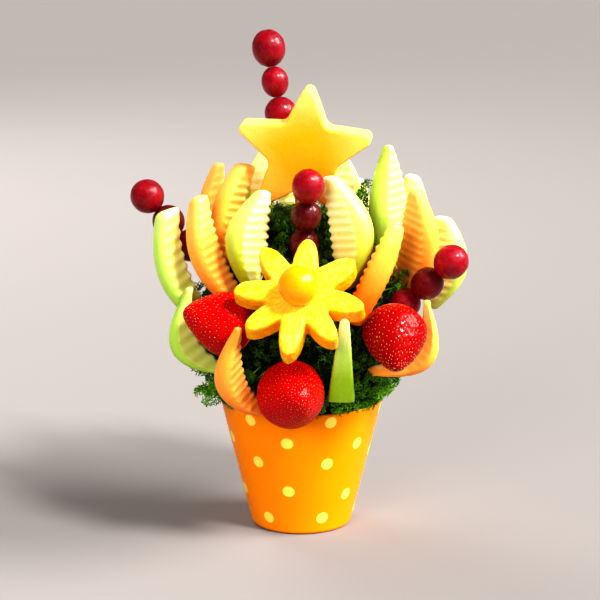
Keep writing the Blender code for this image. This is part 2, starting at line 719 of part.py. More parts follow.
def main():
    clear_scene()
    bouquet = new_collection("Fruit bouquet")
    pockets = new_collection("Pockets")
    finishes = {
        "pot": new_material("Orange glaze", (0.95, 0.42, 0.01), 0.35),
        "parsley": new_material("Parsley", (0.03, 0.13, 0.02), 0.6),
        "honeydew": new_material("Honeydew", (0.8, 0.85, 0.32), 0.45),
        "cantaloupe": new_material("Cantaloupe", (0.95, 0.47, 0.07), 0.45),
        "grape": new_material("Red grape", (0.28, 0.005, 0.02), 0.2),
        "strawberry": new_material("Strawberry", (0.65, 0.01, 0.01), 0.35),
        "star": new_material("Yellow melon", (0.95, 0.55, 0.02), 0.4),
        "pineapple": new_material("Pineapple", (0.95, 0.75, 0.03), 0.45),
        "bamboo": new_material("Bamboo", (0.7, 0.5, 0.28), 0.6),
    }
    add_pot(bouquet, finishes["pot"])
    add_wedges(bouquet, pockets, finishes)
    add_grapes(bouquet, pockets, finishes["grape"])
    add_strawberries(bouquet, pockets, finishes["strawberry"])
    add_star_and_daisy(bouquet, pockets, finishes)
    add_melon_ball(bouquet, finishes["cantaloupe"])
    add_skewers(bouquet, pockets, finishes["bamboo"])
    add_parsley(bouquet, pockets, finishes["parsley"])


main()
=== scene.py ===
"""Looks of a fruit bouquet in a small polka-dot pot.

Each wedge, berry, grape and slab is modelled again in full detail where its CAD node
stands. The tables give those places, and all their lengths are millimetres. The skewers
and the pot are measured from their CAD nodes, and the parsley becomes a core with a
coat of curled leaves.
"""

import contextlib
import json
import math
from typing import NamedTuple

import bmesh
import bpy
import numpy as np
from bpy.props import FloatProperty, FloatVectorProperty, IntProperty, PointerProperty
from mathutils import Matrix, Vector
from mathutils.bvhtree import BVHTree

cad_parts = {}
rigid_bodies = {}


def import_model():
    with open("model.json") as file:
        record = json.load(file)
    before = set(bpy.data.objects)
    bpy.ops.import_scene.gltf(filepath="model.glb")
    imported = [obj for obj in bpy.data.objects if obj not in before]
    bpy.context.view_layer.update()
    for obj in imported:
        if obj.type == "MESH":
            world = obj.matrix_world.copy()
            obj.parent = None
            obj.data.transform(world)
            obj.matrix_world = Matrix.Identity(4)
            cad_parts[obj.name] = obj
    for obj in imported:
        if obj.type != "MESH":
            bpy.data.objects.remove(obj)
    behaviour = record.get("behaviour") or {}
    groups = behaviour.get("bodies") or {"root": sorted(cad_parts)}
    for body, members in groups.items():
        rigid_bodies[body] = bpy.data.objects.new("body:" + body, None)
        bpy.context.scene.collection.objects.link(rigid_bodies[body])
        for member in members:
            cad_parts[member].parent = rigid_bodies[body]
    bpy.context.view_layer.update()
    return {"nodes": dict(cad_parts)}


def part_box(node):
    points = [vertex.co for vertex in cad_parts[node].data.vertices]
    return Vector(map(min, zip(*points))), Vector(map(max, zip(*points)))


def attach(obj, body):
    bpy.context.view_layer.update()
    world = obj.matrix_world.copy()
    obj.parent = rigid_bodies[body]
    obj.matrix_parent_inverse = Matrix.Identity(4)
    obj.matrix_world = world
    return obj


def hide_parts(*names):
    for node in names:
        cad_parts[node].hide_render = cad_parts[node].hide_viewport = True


bl_info = {
    "name": "Fruit bouquet",
    "version": (1, 0, 0),
    "blender": (4, 5, 0),
    "location": "3D View > Sidebar > Fruit bouquet",
    "description": "Models and finishes a bouquet of cut fruit in a pot of parsley",
    "category": "Object",
}

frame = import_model()

MM = 0.001
BODY = "root"
GOLDEN_ANGLE = math.radians(137.508)
# Edges bent by less than this are shaded smooth.
SMOOTH_BELOW = math.radians(50)


def web(code):
    """A web colour as linear red, green and blue, by the sRGB curve."""
    shares = [int(code[i:i + 2], 16) / 255 for i in (0, 2, 4)]
    return tuple(s / 12.92 if s <= 0.04045 else ((s + 0.055) / 1.055) ** 2.4 for s in shares)


# ---- where the pieces stand ----------------------------------------------------------


class Wedge(NamedTuple):
    """A melon wedge: its two ends, the way its peel side faces, its sizes and its looks."""

    foot: tuple
    tip: tuple
    peel: tuple
    width: float = 22.0
    thick: float = 17.0
    arch: float = 8.0  # how far its middle stands out towards the peel side
    foot_end: float = 0.6  # share of the full section at the foot
    tip_end: float = 0.4  # share of the full section at the tip
    crinkle: float = 1.0  # height of its ridges, against the usual
    tone: float = -0.1  # depth of its colour at the tip; below zero it is painted light that pales the tip
    foot_shade: float = 0.9  # how much painted shade deepens the colour towards the foot
    spacing: float = 1.0  # distance between its ridges, against the usual

    @property
    def square(self):
        """Whether the foot is cut off square, with the full section."""
        return self.foot_end == 1.0


WEDGES = {
    "honeydew_left_outer": Wedge(
        (-61, -24, 146), (-87.5, -36, 222), (-0.93, -0.35, 0),
        18.0, 16.0, 11.0, 0.6, 0.85, 0.7, 0.0, 0.7, 1.35),
    "honeydew_left_low": Wedge(
        (-47, -42, 117), (-73.5, -46, 172.5), (-0.95, -0.3, -0.2),
        17.0, 15.0, 19.0, 0.5, 0.35, 0.6, 0.3, 0.5, 1.35),
    "honeydew_centre_left": Wedge(
        (-31, -46, 176), (-25, -42, 236), (-0.92, -0.4, 0),
        25.0, 18.0, 8.0, 0.6, 0.4, 1.0, 0.05, 1.5),
    "honeydew_centre_right": Wedge(
        (28, -46, 175), (18, -42, 245.5), (0.92, -0.4, 0),
        26.0, 18.0, 10.0, 0.5, 0.42, 0.8, -0.1, 1.6),
    "honeydew_right_tall": Wedge(
        (60.2, -5.8, 177), (58, -9, 261), (-0.85, -0.52, 0),
        24.5, 16.5, 0.5, 0.9, 0.25, 0.55, 0.22, 0.35),
    "honeydew_right_back": Wedge(
        (59, 13, 172), (75, 8, 238.5), (0.95, -0.2, 0.1),
        22.0, 17.0, 7.0, 0.6, 0.45, 0.7),
    "honeydew_right_outer": Wedge(
        (89, -7, 154), (94.5, -7, 212.5), (0.97, -0.25, 0),
        21.0, 16.0, 8.0, 0.4, 0.6, 0.7),
    "honeydew_spear": Wedge(
        (26, -62, 107.5), (27.2, -98, 164), (0.0, -0.97, -0.2),
        15.0, 17.4, 1.0, 1.0, 0.12, 0.15, -0.35, 2.4),
    "honeydew_behind_left": Wedge(
        (-22, 14, 203), (-25, 17, 254.5), (-0.95, 0.2, 0),
        18.0, 15.0, 5.0, 0.7, 0.4, 0.6),
    "honeydew_behind_right": Wedge(
        (22, 14, 203), (28, 16, 251), (0.95, 0.2, 0),
        18.0, 15.0, 5.0, 0.7, 0.4, 0.6),
    "honeydew_behind_centre": Wedge(
        (-6, 26, 203), (-10, 36, 250), (-0.1, 0.98, 0.1),
        18.0, 16.0, 5.0, 0.7, 0.4),
    "cantaloupe_left": Wedge(
        (-44, -38, 165), (-66.5, -43, 232.5), (-0.9, -0.42, 0),
        19.0, 17.0, 8.0, 0.75, 0.6, 0.7),
    "cantaloupe_left_back": Wedge(
        (-49, 8, 184), (-56, 8, 246.5), (-0.95, -0.2, 0),
        17.0, 15.0, 7.0, 0.6, 0.45, 0.6),
    "cantaloupe_left_tall": Wedge(
        (-50, -19, 180), (-37, -12, 249), (-0.8, -0.55, 0.2),
        18.5, 15.0, 8.0, 0.6, 0.72),
    "cantaloupe_centre_right": Wedge(
        (32.4, -57, 155.3), (61.2, -52.6, 216.5), (0.25, -0.97, 0),
        16.0, 17.0, 3.0, 0.75, 0.5, 1.9, -0.05, 1.8),
    "cantaloupe_right": Wedge(
        (69, -12, 163), (74.5, -35, 236), (0.85, -0.5, 0),
        25.0, 17.0, 6.0, 0.5, 0.35, 0.75),
    "cantaloupe_right_low": Wedge(
        (46, -46, 118), (82, -50, 165), (0.75, -0.1, -0.6),
        17.0, 16.0, 18.5, 0.45, 0.3, 0.2),
    "cantaloupe_front_low": Wedge(
        (-27, -67, 98), (-40, -92.5, 156.5), (-0.78, -0.6, 0),
        17.5, 16.0, 15.0, 0.7, 0.25, 0.7, 0.1),
    "cantaloupe_back_left": Wedge((-47, 40, 148), (-70, 58, 210), (-0.8, 0.6, 0)),
    "honeydew_back_left": Wedge((-26, 54, 166), (-34, 74, 232), (-0.4, 0.9, 0)),
    "cantaloupe_back": Wedge((3, 58, 162), (3, 80, 228), (0.0, 1.0, 0)),
    "honeydew_back_right": Wedge((31, 52, 162), (40, 72, 226), (0.45, 0.9, 0)),
    "cantaloupe_back_right": Wedge((53, 38, 150), (78, 54, 216), (0.8, 0.6, 0)),
}
# The honeydew wedges that show the green flesh next to the peel.
GREEN_WEDGES = ("honeydew_left_outer", "honeydew_left_low", "honeydew_spear", "honeydew_right_tall",
                "honeydew_back_left")


class GrapeRow(NamedTuple):
    """Grapes threaded on one skewer, from the one nearest the mound outwards."""

    start: tuple
    way: tuple
    grapes: tuple  # (radius across the skewer, half the length along it, painted shade) of each grape


GRAPE_ROWS = {
    "grapes_top": GrapeRow((-12, 13, 271), (-0.185, 0.06, 1.0),
                           ((10.9, 10.9, 0.3), (9.1, 10.2, 0.12), (11.2, 12.4, 0.3))),
    "grapes_left": GrapeRow((-69, -3, 186), (-0.62, -0.1, 0.78),
                            ((10.4, 10.8, 0.85), (10.8, 10.8, 0.85), (11.3, 11.2, 0.28))),
    "grapes_centre": GrapeRow((1, -38, 193), (0.06, -0.36, 0.93),
                              ((9.8, 10.6, 0.9), (10.0, 10.6, 0.95), (10.7, 11.4, 0.1))),
    "grapes_right": GrapeRow((61.5, -34, 154.5), (0.64, -0.34, 0.69),
                             ((10.4, 10.6, 0.3), (10.5, 11.3, 0.75), (11.2, 11.6, 0.0))),
}
GRAPE_GAP = 0.3


class Strawberry(NamedTuple):
    """A hulled strawberry: its middle, the way its tip points, its size and its painted shade."""

    middle: tuple
    way: tuple
    radius: float
    half: float
    painted_shade: float = 0.0


STRAWBERRIES = {
    "strawberry_front": Strawberry((-5.5, -82.8, 111.1), (0.2, -0.95, 0.15), 23.6, 24.5),
    "strawberry_left": Strawberry((-54.2, -70, 157.6), (-0.84, -0.4, 0.34), 22.4, 25.0),
    # The right berry is darkened all over by painted shade.
    "strawberry_right": Strawberry((60.1, -75.3, 146.3), (0.0, -0.82, -0.57), 22.0, 25.5, 1.0),
    "strawberry_back_left": Strawberry((-36, 72, 119), (-0.4, 0.88, -0.2), 20.5, 23.0),
    "strawberry_back_right": Strawberry((38, 72, 118), (0.45, 0.86, -0.2), 21.0, 23.0),
}

STAR_MIDDLE = (2, -22, 261)
STAR_FACING = (-0.13, -0.98, -0.1)
# Where each point of the star is, in degrees, and how far it reaches.
STAR_POINTS = ((86, 43.5), (158, 45.5), (230, 45.5), (302, 45.5), (374, 45.5))
STAR_NOTCH_RADIUS = 24.0
STAR_TIP_ROUND = 4.0
STAR_NOTCH_ROUND = 7.0
STAR_THICKNESS = 19.0

DAISY_MIDDLE = (-1.0, -88, 176.2)
DAISY_FACING = (-0.06, -0.77, 0.635)
DAISY_THICKNESS = 18.0
DAISY_NOTCH_RADIUS = 21.0
# Where the middle of each petal is, in degrees, and how far it reaches.
PETALS = ((-15, 42.6), (32, 42.3), (82, 40.0), (125, 41.8),
          (175, 42.3), (214, 41.4), (259, 43.5), (304, 40.0))
PETAL_STEPS = 12
PETAL_FULLNESS = 1.4
BALL_RADIUS = 12.7
BALL_FLAT = 9.5
BALL_GAP = 0.3

# The mound of parsley: radius and height of its outline, from the pot's rim up.
MOUND = ((57.0, 93.5), (63.0, 102.0), (67.5, 116.0), (69.0, 134.0), (68.0, 152.0), (64.0, 168.0),
         (57.0, 184.0), (45.0, 200.0), (28.0, 213.0), (12.0, 219.0))


# ---- settings a user would change ----------------------------------------------------


def amount(name, description, default, unit="NONE", **kind):
    return FloatProperty(name=name, description=description, default=default, unit=unit,
                         min=0.0, **kind)


def length(name, description, default):
    return amount(name, description, default, "LENGTH", subtype="DISTANCE", precision=4)


def tint(name, description, code):
    return FloatVectorProperty(name=name, description=description, default=web(code),
                               subtype="COLOR", size=3, min=0.0, max=1.0)


class PotSettings(bpy.types.PropertyGroup):
    """Sizes and colours of the pot."""

    wall: length("Wall", "Thickness of the pot's wall", 2.4 * MM)
    floor: length("Floor", "Thickness of the pot's floor", 4.0 * MM)
    rim_round: length("Rim rounding", "Rounding of the rim's edges", 0.9 * MM)
    glaze: tint("Glaze", "Colour of the glaze", "FF8E00")
    glaze_cloud: tint("Glaze clouds", "Colour that clouds the glaze", "FF9E00")
    dots: tint("Dots", "Colour of the dots", "FFE164")
    dot_radius: length("Dot radius", "Radius of one dot", 4.3 * MM)


class MelonSettings(bpy.types.PropertyGroup):
    """Sizes and colours of the melon wedges, star and ball."""

    ridge: length("Ridge", "Half of the height of a crinkle-cut ridge", 0.42 * MM)
    pitch: length("Ridge spacing", "Distance from one crinkle-cut ridge to the next", 5.5 * MM)
    # Painted light and shade: the groove colours are painted shade in the grooves, the deep colours
    # painted shade towards each wedge's foot, and the tip colours painted light on its tip.
    honeydew: tint("Honeydew flesh", "Colour of honeydew flesh on the ridges", "FBF5C0")
    honeydew_groove: tint("Honeydew groove", "Colour in the grooves of honeydew", "F0EC98")
    honeydew_peel: tint("Honeydew peel side", "Colour of honeydew under its peel", "D6EA78")
    honeydew_deep: tint("Honeydew foot", "Colour of the ripest honeydew", "A6AC00")
    honeydew_pale: tint("Honeydew tip", "Colour of the palest honeydew", "FFFCAC")
    green: tint("Green honeydew", "Colour of the ridges of green honeydew", "F0F0A4")
    green_groove: tint("Green honeydew groove", "Colour in the grooves of green honeydew", "D4DE68")
    green_peel: tint("Green honeydew peel side", "Colour of green honeydew under its peel", "C4E46C")
    green_deep: tint("Honeydew lime", "Colour of the deepest green honeydew", "94BC00")
    green_pale: tint("Green honeydew tip", "Colour of the palest green honeydew", "FBFBC0")
    cantaloupe: tint("Cantaloupe flesh", "Colour of cantaloupe flesh on the ridges", "FFC468")
    cantaloupe_groove: tint("Cantaloupe groove", "Colour in the grooves of cantaloupe", "FFA840")
    cantaloupe_peel: tint("Cantaloupe peel side", "Colour of cantaloupe under its peel", "FFB248")
    cantaloupe_deep: tint("Cantaloupe orange", "Colour of the deepest orange cantaloupe", "FF7200")
    cantaloupe_pale: tint("Cantaloupe tip", "Colour of the palest cantaloupe", "FFD88A")
    # Painted light and shade: the star's face is deeper on its lower half, and paler at its upper
    # tips and cut sides.
    star: tint("Star", "Colour of the star's face", "FFA800")
    star_low: tint("Star foot", "Colour of the lower half of the star's face", "FF8600")
    star_pale: tint("Star tips", "Colour of the star's tips and cut sides", "FFD474")
    ball: tint("Ball", "Colour of the melon ball", "FF9800")


class BerrySettings(bpy.types.PropertyGroup):
    """Sizes and colours of the strawberries and grapes."""

    strawberry: tint("Strawberry", "Colour of ripe strawberry skin", "C40404")
    strawberry_mottle: tint("Strawberry mottle", "Colour that mottles the skin", "A20305")
    # Painted shade: the colour a whole berry is darkened to.
    strawberry_painted_shade: tint("Ripest strawberry", "Colour of the ripest strawberry skin", "8E0204")
    # Painted shade: the colour deep in the dimples.
    strawberry_dimple_shade: tint("Strawberry dimple", "Colour deep in the dimples", "700104")
    strawberry_pale: tint("Strawberry shoulder", "Colour of a strawberry round its hull", "E8745A")
    seed: tint("Seed", "Colour of a strawberry's seeds", "E48A68")
    seed_dark: tint("Seed shade", "Colour of the darker seeds", "D4603C")
    seed_length: length("Seed length", "Length of a strawberry seed", 1.0 * MM)
    seed_spacing: length("Seed spacing", "Distance between strawberry seeds", 3.8 * MM)
    dimple: length("Dimple", "Depth of the dimple round each seed", 0.4 * MM)
    grape: tint("Grape", "Colour of grape skin", "9C041E")
    # The darkest grape skin, also the colour that painted shade darkens some grapes to.
    grape_dark_and_shade: tint("Grape shade", "Colour of the darkest grape skin", "480106")
    grape_streak: tint("Grape streaks", "Colour of the streaks along a grape", "B8141C")
    grape_speck: tint("Grape specks", "Colour of the small specks on a grape", "D04A40")
    grape_bloom: tint("Grape bloom", "Colour of the waxy bloom", "B07080")
    bloom: amount("Bloom", "Amount of waxy bloom on the grapes", 0.07, subtype="FACTOR", max=1.0)


class PineappleSettings(bpy.types.PropertyGroup):
    """Colours of the daisy cut from pineapple."""

    flesh: tint("Pineapple", "Colour of pineapple flesh", "FFC400")
    pale: tint("Pale fibres", "Colour of the pale fibres", "FFE658")
    # Painted shade: the deeper colour of the cut sides.
    edge: tint("Cut edge", "Colour of the cut edges", "FFAC00")


class SkewerSettings(bpy.types.PropertyGroup):
    """Colours of the bamboo skewers."""

    dark: tint("Dark grain", "Colour of the darkest bamboo fibres", "B98A4C")
    pale: tint("Pale grain", "Colour of the palest bamboo fibres", "E8CC94")


class ParsleySettings(bpy.types.PropertyGroup):
    """Sizes and colours of the parsley."""

    spacing: length("Tuft spacing", "Distance between tufts of curled leaves", 5.4 * MM)
    tuft: length("Tuft", "Reach of one tuft from its middle", 5.0 * MM)
    crowd: IntProperty(name="Leaves in a tuft", description="Number of curled leaves in one tuft",
                       default=8, min=1)
    dark: tint("Dark leaf", "Colour of old and shaded leaves", "0A1E05")
    bright: tint("Bright leaf", "Colour of young leaves", "78BC22")
    seed: IntProperty(name="Seed", description="Number that fixes the leaves' random turns",
                      default=7, min=0)


class StageSettings(bpy.types.PropertyGroup):
    """The floor, the lights and the camera."""

    floor: tint("Floor", "Colour of the floor", "84807E")
    floor_cloud: tint("Floor clouds", "Colour that clouds the floor", "E6E2E0")
    key: amount("Key light", "Strength of the main light", 3.7)
    side: amount("Side light", "Strength of the broad light from the right", 4.3)
    fill: amount("Fill light", "Power of the light on the shaded side", 26.0, "POWER",
                 subtype="POWER")
    sky: amount("Sky", "Strength of the light from all round", 0.18)
    distance: length("Camera distance", "From the camera to the middle of the bouquet", 1.4)
    elevation: amount("Camera elevation", "Angle that the camera looks down", math.radians(12.5),
                      "ROTATION", subtype="ANGLE")
    lens: amount("Lens", "Focal length of the camera, in millimetres", 123.54, "CAMERA")


def settings(name):
    return getattr(bpy.context.scene, "bouquet_" + name)


# ---- modelling by operators ----------------------------------------------------------


def only(piece):
    """Selects one piece and nothing else."""
    bpy.ops.object.select_all(action="DESELECT")
    piece.select_set(True)
    bpy.context.view_layer.objects.active = piece


def start_from(add_primitive, location=(0, 0, 0), **sizes):
    """Adds a primitive with nothing else selected, and returns it."""
    bpy.ops.object.select_all(action="DESELECT")
    add_primitive(location=location, **sizes)
    return bpy.context.active_object


@contextlib.contextmanager
def editing(piece, kind="VERT"):
    """Edit mode on one piece, picking corners, edges or faces."""
    only(piece)
    bpy.ops.object.mode_set(mode="EDIT")
    bpy.ops.mesh.select_mode(type=kind)
    bpy.ops.mesh.select_all(action="DESELECT")
    yield
    bpy.ops.object.mode_set(mode="OBJECT")


def pick(piece, kind, test):
    """Selects the corners, edges or faces that pass a test, and nothing else."""
    bpy.ops.mesh.select_all(action="DESELECT")
    shape = bmesh.from_edit_mesh(piece.data)
    for part in getattr(shape, kind):
        if test(part):
            part.select_set(True)
    shape.select_flush_mode()
    bmesh.update_edit_mesh(piece.data)


def pick_all():
    bpy.ops.mesh.select_all(action="SELECT")


def move_picked(x, y, z):
    bpy.ops.transform.translate(value=(x, y, z))


def scale_picked(x, y, z, middle=(0, 0, 0)):
    """Scales what is picked, away from a point."""
    bpy.ops.transform.resize(value=(x, y, z), center_override=middle)


def extrude_up(height):
    """Extrudes the picked faces along z."""
    bpy.ops.mesh.extrude_region_move(TRANSFORM_OT_translate={"value": (0, 0, height)})


def bevel_picked(width, segments=2):
    bpy.ops.mesh.bevel(offset=width, segments=segments, affect="EDGES")


def face_outwards():
    pick_all()
    bpy.ops.mesh.normals_make_consistent(inside=False)


def draw_up(disc, radius, level, rings):
    """Draws a disc of that radius and height up through rings of radius and height."""
    with editing(disc, "FACE"):
        pick_all()
        for ring_radius, height in rings:
            extrude_up(height - level)
            scale_picked(ring_radius / radius, ring_radius / radius, 1)
            radius = ring_radius
            level = height
        face_outwards()


def rise_of(edge):
    """How far an edge rises from one end to the other."""
    return abs(edge.verts[0].co.z - edge.verts[1].co.z)


def apply_modifier(piece, name, kind, **values):
    """Adds a modifier with the values given and applies it."""
    only(piece)
    step = piece.modifiers.new(name, kind)
    for key, value in values.items():
        setattr(step, key, value)
    bpy.ops.object.modifier_apply(modifier=step.name)


def subdivide_smooth(piece, levels):
    apply_modifier(piece, "Rounded", "SUBSURF", levels=levels, render_levels=levels)


def remesh(piece, size, smoothing):
    """Rebuilds a piece from even small quads and smooths it."""
    apply_modifier(piece, "Even mesh", "REMESH", mode="VOXEL", voxel_size=size)
    apply_modifier(piece, "Smoothed", "SMOOTH", factor=0.5, iterations=smoothing)


def roughen(piece, name, size, height):
    """Raises and lowers the surface by a soft random pattern of that size and height."""
    pattern = bpy.data.textures.new(name, "CLOUDS")
    pattern.noise_scale = size
    apply_modifier(piece, name, "DISPLACE", texture=pattern, texture_coords="LOCAL",
                   strength=height, mid_level=0.5)


def copy_of(piece):
    """A copy of a piece with its own mesh."""
    only(piece)
    bpy.ops.object.duplicate(linked=False)
    return bpy.context.active_object


def settle(piece):
    """Applies a piece's place, turn and size to its mesh."""
    only(piece)
    bpy.ops.object.transform_apply(location=True, rotation=True, scale=True)


def discard(piece):
    bpy.data.objects.remove(piece, do_unlink=True)


def corners_of(piece):
    """The places of a mesh's corners, as an array."""
    places = np.empty(len(piece.data.vertices) * 3, np.float32)
    piece.data.vertices.foreach_get("co", places)
    return places.reshape(-1, 3)


def mark(piece, name, values):
    """Stores one number or one vector for each corner, for a material to read."""
    kind = "FLOAT" if values.ndim == 1 else "FLOAT_VECTOR"
    layer = piece.data.attributes.new(name, kind, "POINT")
    layer.data.foreach_set("value" if values.ndim == 1 else "vector",
                           np.ascontiguousarray(values, np.float32).ravel())


def polar(radius, degrees):
    """A place on a flat circle, by its turn from +X."""
    angle = math.radians(degrees)
    return Vector((radius * math.cos(angle), radius * math.sin(angle)))


def pose(up, towards):
    """The rotation that turns +Z to up, and +X as nearly as it can to towards."""
    up = Vector(up).normalized()
    towards = Vector(towards)
    across = (towards - towards.dot(up) * up).normalized()
    return Matrix((across, up.cross(across), up)).transposed()


def stand(spot, turn):
    """The matrix that turns a piece and then moves it to a spot."""
    return Matrix.Translation(spot) @ turn.to_4x4()


def set_down(piece, node, ending, spot, turn, finish, slot):
    """Puts a piece where it belongs, smooths its shading and lets it replace its CAD node."""
    piece.matrix_world = stand(Vector(spot) * MM, turn)
    settle(piece)
    bpy.ops.object.shade_smooth_by_angle(angle=SMOOTH_BELOW)
    hand_over(piece, f"{node}_{ending}", finish, slot, node)


def hand_over(piece, name, finish, slot, *nodes):
    """Names a finished piece, gives it its finish and hands it to the frame."""
    piece.name = name
    piece.data.name = name
    piece.data.materials.clear()
    piece.data.materials.append(finish)
    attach(piece, BODY)
    if nodes:
        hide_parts(*nodes)


def joined_copies(name, template, matrices):
    """One mesh of a template repeated at each 4 by 4 matrix, from arrays."""
    corners = corners_of(template)
    faces = [list(face.vertices) for face in template.data.polygons]
    sizes = np.array([len(face) for face in faces])
    loops = np.concatenate([np.array(face) for face in faces])
    count = len(matrices)
    matrices = np.asarray(matrices)
    places = np.einsum("nij,kj->nki", matrices[:, :3, :3], corners) + matrices[:, None, :3, 3]
    mesh = bpy.data.meshes.new(name)
    mesh.vertices.add(count * len(corners))
    mesh.vertices.foreach_set("co", places.astype(np.float32).ravel())
    mesh.loops.add(count * len(loops))
    shift = np.arange(count)[:, None] * len(corners)
    mesh.loops.foreach_set("vertex_index", (loops[None, :] + shift).astype(np.int32).ravel())
    mesh.polygons.add(count * len(faces))
    starts = np.concatenate([[0], np.cumsum(np.tile(sizes, count))[:-1]])
    mesh.polygons.foreach_set("loop_start", starts.astype(np.int32))
    mesh.update(calc_edges=True)
    mesh.shade_smooth()
    piece = bpy.data.objects.new(name, mesh)
    bpy.context.scene.collection.objects.link(piece)
    return piece


# ---- materials -----------------------------------------------------------------------


class Nodes:
    """Short calls that add and join the nodes of one tree."""

    def __init__(self, tree):
        self.tree = tree

    def feed(self, socket, value):
        """Links a socket to another node's output, or sets it to a plain value."""
        if isinstance(value, bpy.types.NodeSocket):
            self.tree.links.new(value, socket)
        elif getattr(socket, "type", "") == "RGBA" and len(value) == 3:
            socket.default_value = (*value, 1.0)
        else:
            socket.default_value = value

    def feed_all(self, sockets, **values):
        """Feeds each value to the socket of its name."""
        for key, value in values.items():
            self.feed(sockets[key.replace("_", " ")], value)

    def add(self, kind, inputs=None, **values):
        node = self.tree.nodes.new(kind)
        for key, value in values.items():
            setattr(node, key, value)
        for key, value in (inputs or {}).items():
            self.feed(node.inputs[key], value)
        return node

    def place(self):
        return self.add("ShaderNodeTexCoord").outputs["Object"]

    def stored(self, name, output="Vector"):
        return self.add("ShaderNodeAttribute", attribute_name=name).outputs[output]

    def split(self, vector):
        return self.add("ShaderNodeSeparateXYZ", {"Vector": vector}).outputs

    def calc(self, operation, *values, clamp=False):
        node = self.add("ShaderNodeMath", operation=operation, use_clamp=clamp)
        for socket, value in zip(node.inputs, values):
            self.feed(socket, value)
        return node.outputs[0]

    def times(self, first, second, clamp=False):
        return self.calc("MULTIPLY", first, second, clamp=clamp)

    def times_plus(self, first, second, third):
        return self.calc("MULTIPLY_ADD", first, second, third)

    def reach(self, x, y):
        """The square root of x squared and y squared."""
        squares = self.calc("ADD", self.calc("POWER", x, 2.0), self.calc("POWER", y, 2.0))
        return self.calc("SQRT", squares)

    def mix(self, share_of, first, second):
        """A blend of two colours, by the numbers of the sockets a colour mix uses."""
        node = self.add("ShaderNodeMix", data_type="RGBA")
        self.feed(node.inputs[0], share_of)
        self.feed(node.inputs[6], first)
        self.feed(node.inputs[7], second)
        return node.outputs[2]

    def span(self, value, low, high, to_low=0.0, to_high=1.0, smooth=False):
        """A value moved from one range to another, and kept inside it."""
        node = self.add("ShaderNodeMapRange", {"Value": value, "From Min": low, "From Max": high,
                                               "To Min": to_low, "To Max": to_high},
                        interpolation_type="SMOOTHSTEP" if smooth else "LINEAR")
        return node.outputs["Result"]

    def noise(self, where, scale, detail=3.0, roughness=0.5, distortion=0.0):
        node = self.add("ShaderNodeTexNoise", {"Vector": where, "Scale": scale, "Detail": detail,
                                               "Roughness": roughness, "Distortion": distortion})
        return node.outputs["Fac"]

    def stretched(self, where, scale):
        return self.add("ShaderNodeMapping", {"Vector": where, "Scale": scale}).outputs["Vector"]

    def bump(self, height, distance):
        node = self.add("ShaderNodeBump", {"Height": height, "Distance": distance, "Strength": 1.0})
        return node.outputs["Normal"]

    def group(self, tree, **inputs):
        node = self.add("ShaderNodeGroup", node_tree=tree)
        self.feed_all(node.inputs, **inputs)
        return node.outputs


def new_group(name, inputs, outputs):
    """A node group of numbers at a place; returns its tree, nodes, inputs and output sockets."""
    tree = bpy.data.node_groups.new(name, "ShaderNodeTree")
    tree.interface.new_socket("Vector", in_out="INPUT", socket_type="NodeSocketVector")
    for socket, default in inputs.items():
        made = tree.interface.new_socket(socket, in_out="INPUT", socket_type="NodeSocketFloat")
        made.default_value = default
    for socket in outputs:
        tree.interface.new_socket(socket, in_out="OUTPUT", socket_type="NodeSocketFloat")
    nodes = Nodes(tree)
    return tree, nodes, nodes.add("NodeGroupInput").outputs, nodes.add("NodeGroupOutput").inputs


def wet_film():
    """Group: uneven gloss and fine grain of freshly cut, moist flesh."""
    if "Wet film" in bpy.data.node_groups:
        return bpy.data.node_groups["Wet film"]
    tree, nodes, given, out = new_group("Wet film", {"Grain": 700.0, "Driest": 0.5, "Wettest": 0.2},
                                        ("Roughness", "Height", "Mottle"))
    where = given["Vector"]
    patches = nodes.noise(where, 90.0, 4.0, 0.55)
    grain = nodes.noise(where, given["Grain"], 3.0, 0.6)
    lumps = nodes.noise(where, 240.0, 2.0)
    nodes.feed_all(
        out,
        Roughness=nodes.span(patches, 0.35, 0.65, given["Driest"], given["Wettest"]),
        Height=nodes.times_plus(lumps, 0.7, grain),
        Mottle=nodes.span(nodes.noise(where, 55.0, 5.0, 0.6), 0.3, 0.7))
    return tree


def dot_row():
    """Group: a ring of evenly spaced round dots on a tapered wall."""
    tree, nodes, given, out = new_group(
        "Dot row", {"Height": 0.0, "Turn": 0.0, "Radius": 0.004, "Slant": 1.0, "Sway": 0.0},
        ("Mask",))
    x, y, z = nodes.split(given["Vector"])
    angle = nodes.calc("ARCTAN2", x, nodes.times(y, -1.0))
    step = 2 * math.pi / DOTS_IN_ROW
    steps = nodes.calc("DIVIDE", nodes.calc("SUBTRACT", angle, given["Turn"]), step)
    nearest = nodes.calc("ROUND", steps)
    up_or_down = nodes.calc("COSINE", nodes.times(nearest, math.pi))
    level = nodes.times_plus(up_or_down, given["Sway"], given["Height"])
    off_angle = nodes.times(nodes.calc("SUBTRACT", steps, nearest), step)
    across = nodes.times(off_angle, nodes.reach(x, y))
    along = nodes.times(nodes.calc("SUBTRACT", z, level), given["Slant"])
    inside = nodes.calc("SUBTRACT", given["Radius"], nodes.reach(across, along))
    nodes.feed(out["Mask"], nodes.times(inside, DOT_SHARPNESS, clamp=True))
    return tree


def new_material(name, **uniform):
    """A Principled material; returns it, its nodes and its surface, with uniform values set."""
    finish = bpy.data.materials.new(name)
    finish.use_nodes = True
    surface = finish.node_tree.nodes["Principled BSDF"]
    surface.inputs["Specular IOR Level"].default_value = 0.25
    for key, value in uniform.items():
        surface.inputs[key.replace("_", " ")].default_value = value
    return finish, Nodes(finish.node_tree), surface.inputs


def moist(nodes, where, grain, driest, wettest, surface, depth):
    """Adds the wet film's gloss and grain to a surface and returns its mottle."""
    film = nodes.group(wet_film(), Vector=where, Grain=grain, Driest=driest, Wettest=wettest)
    nodes.feed_all(surface, Roughness=film["Roughness"], Normal=nodes.bump(film["Height"], depth))
    return film["Mottle"]


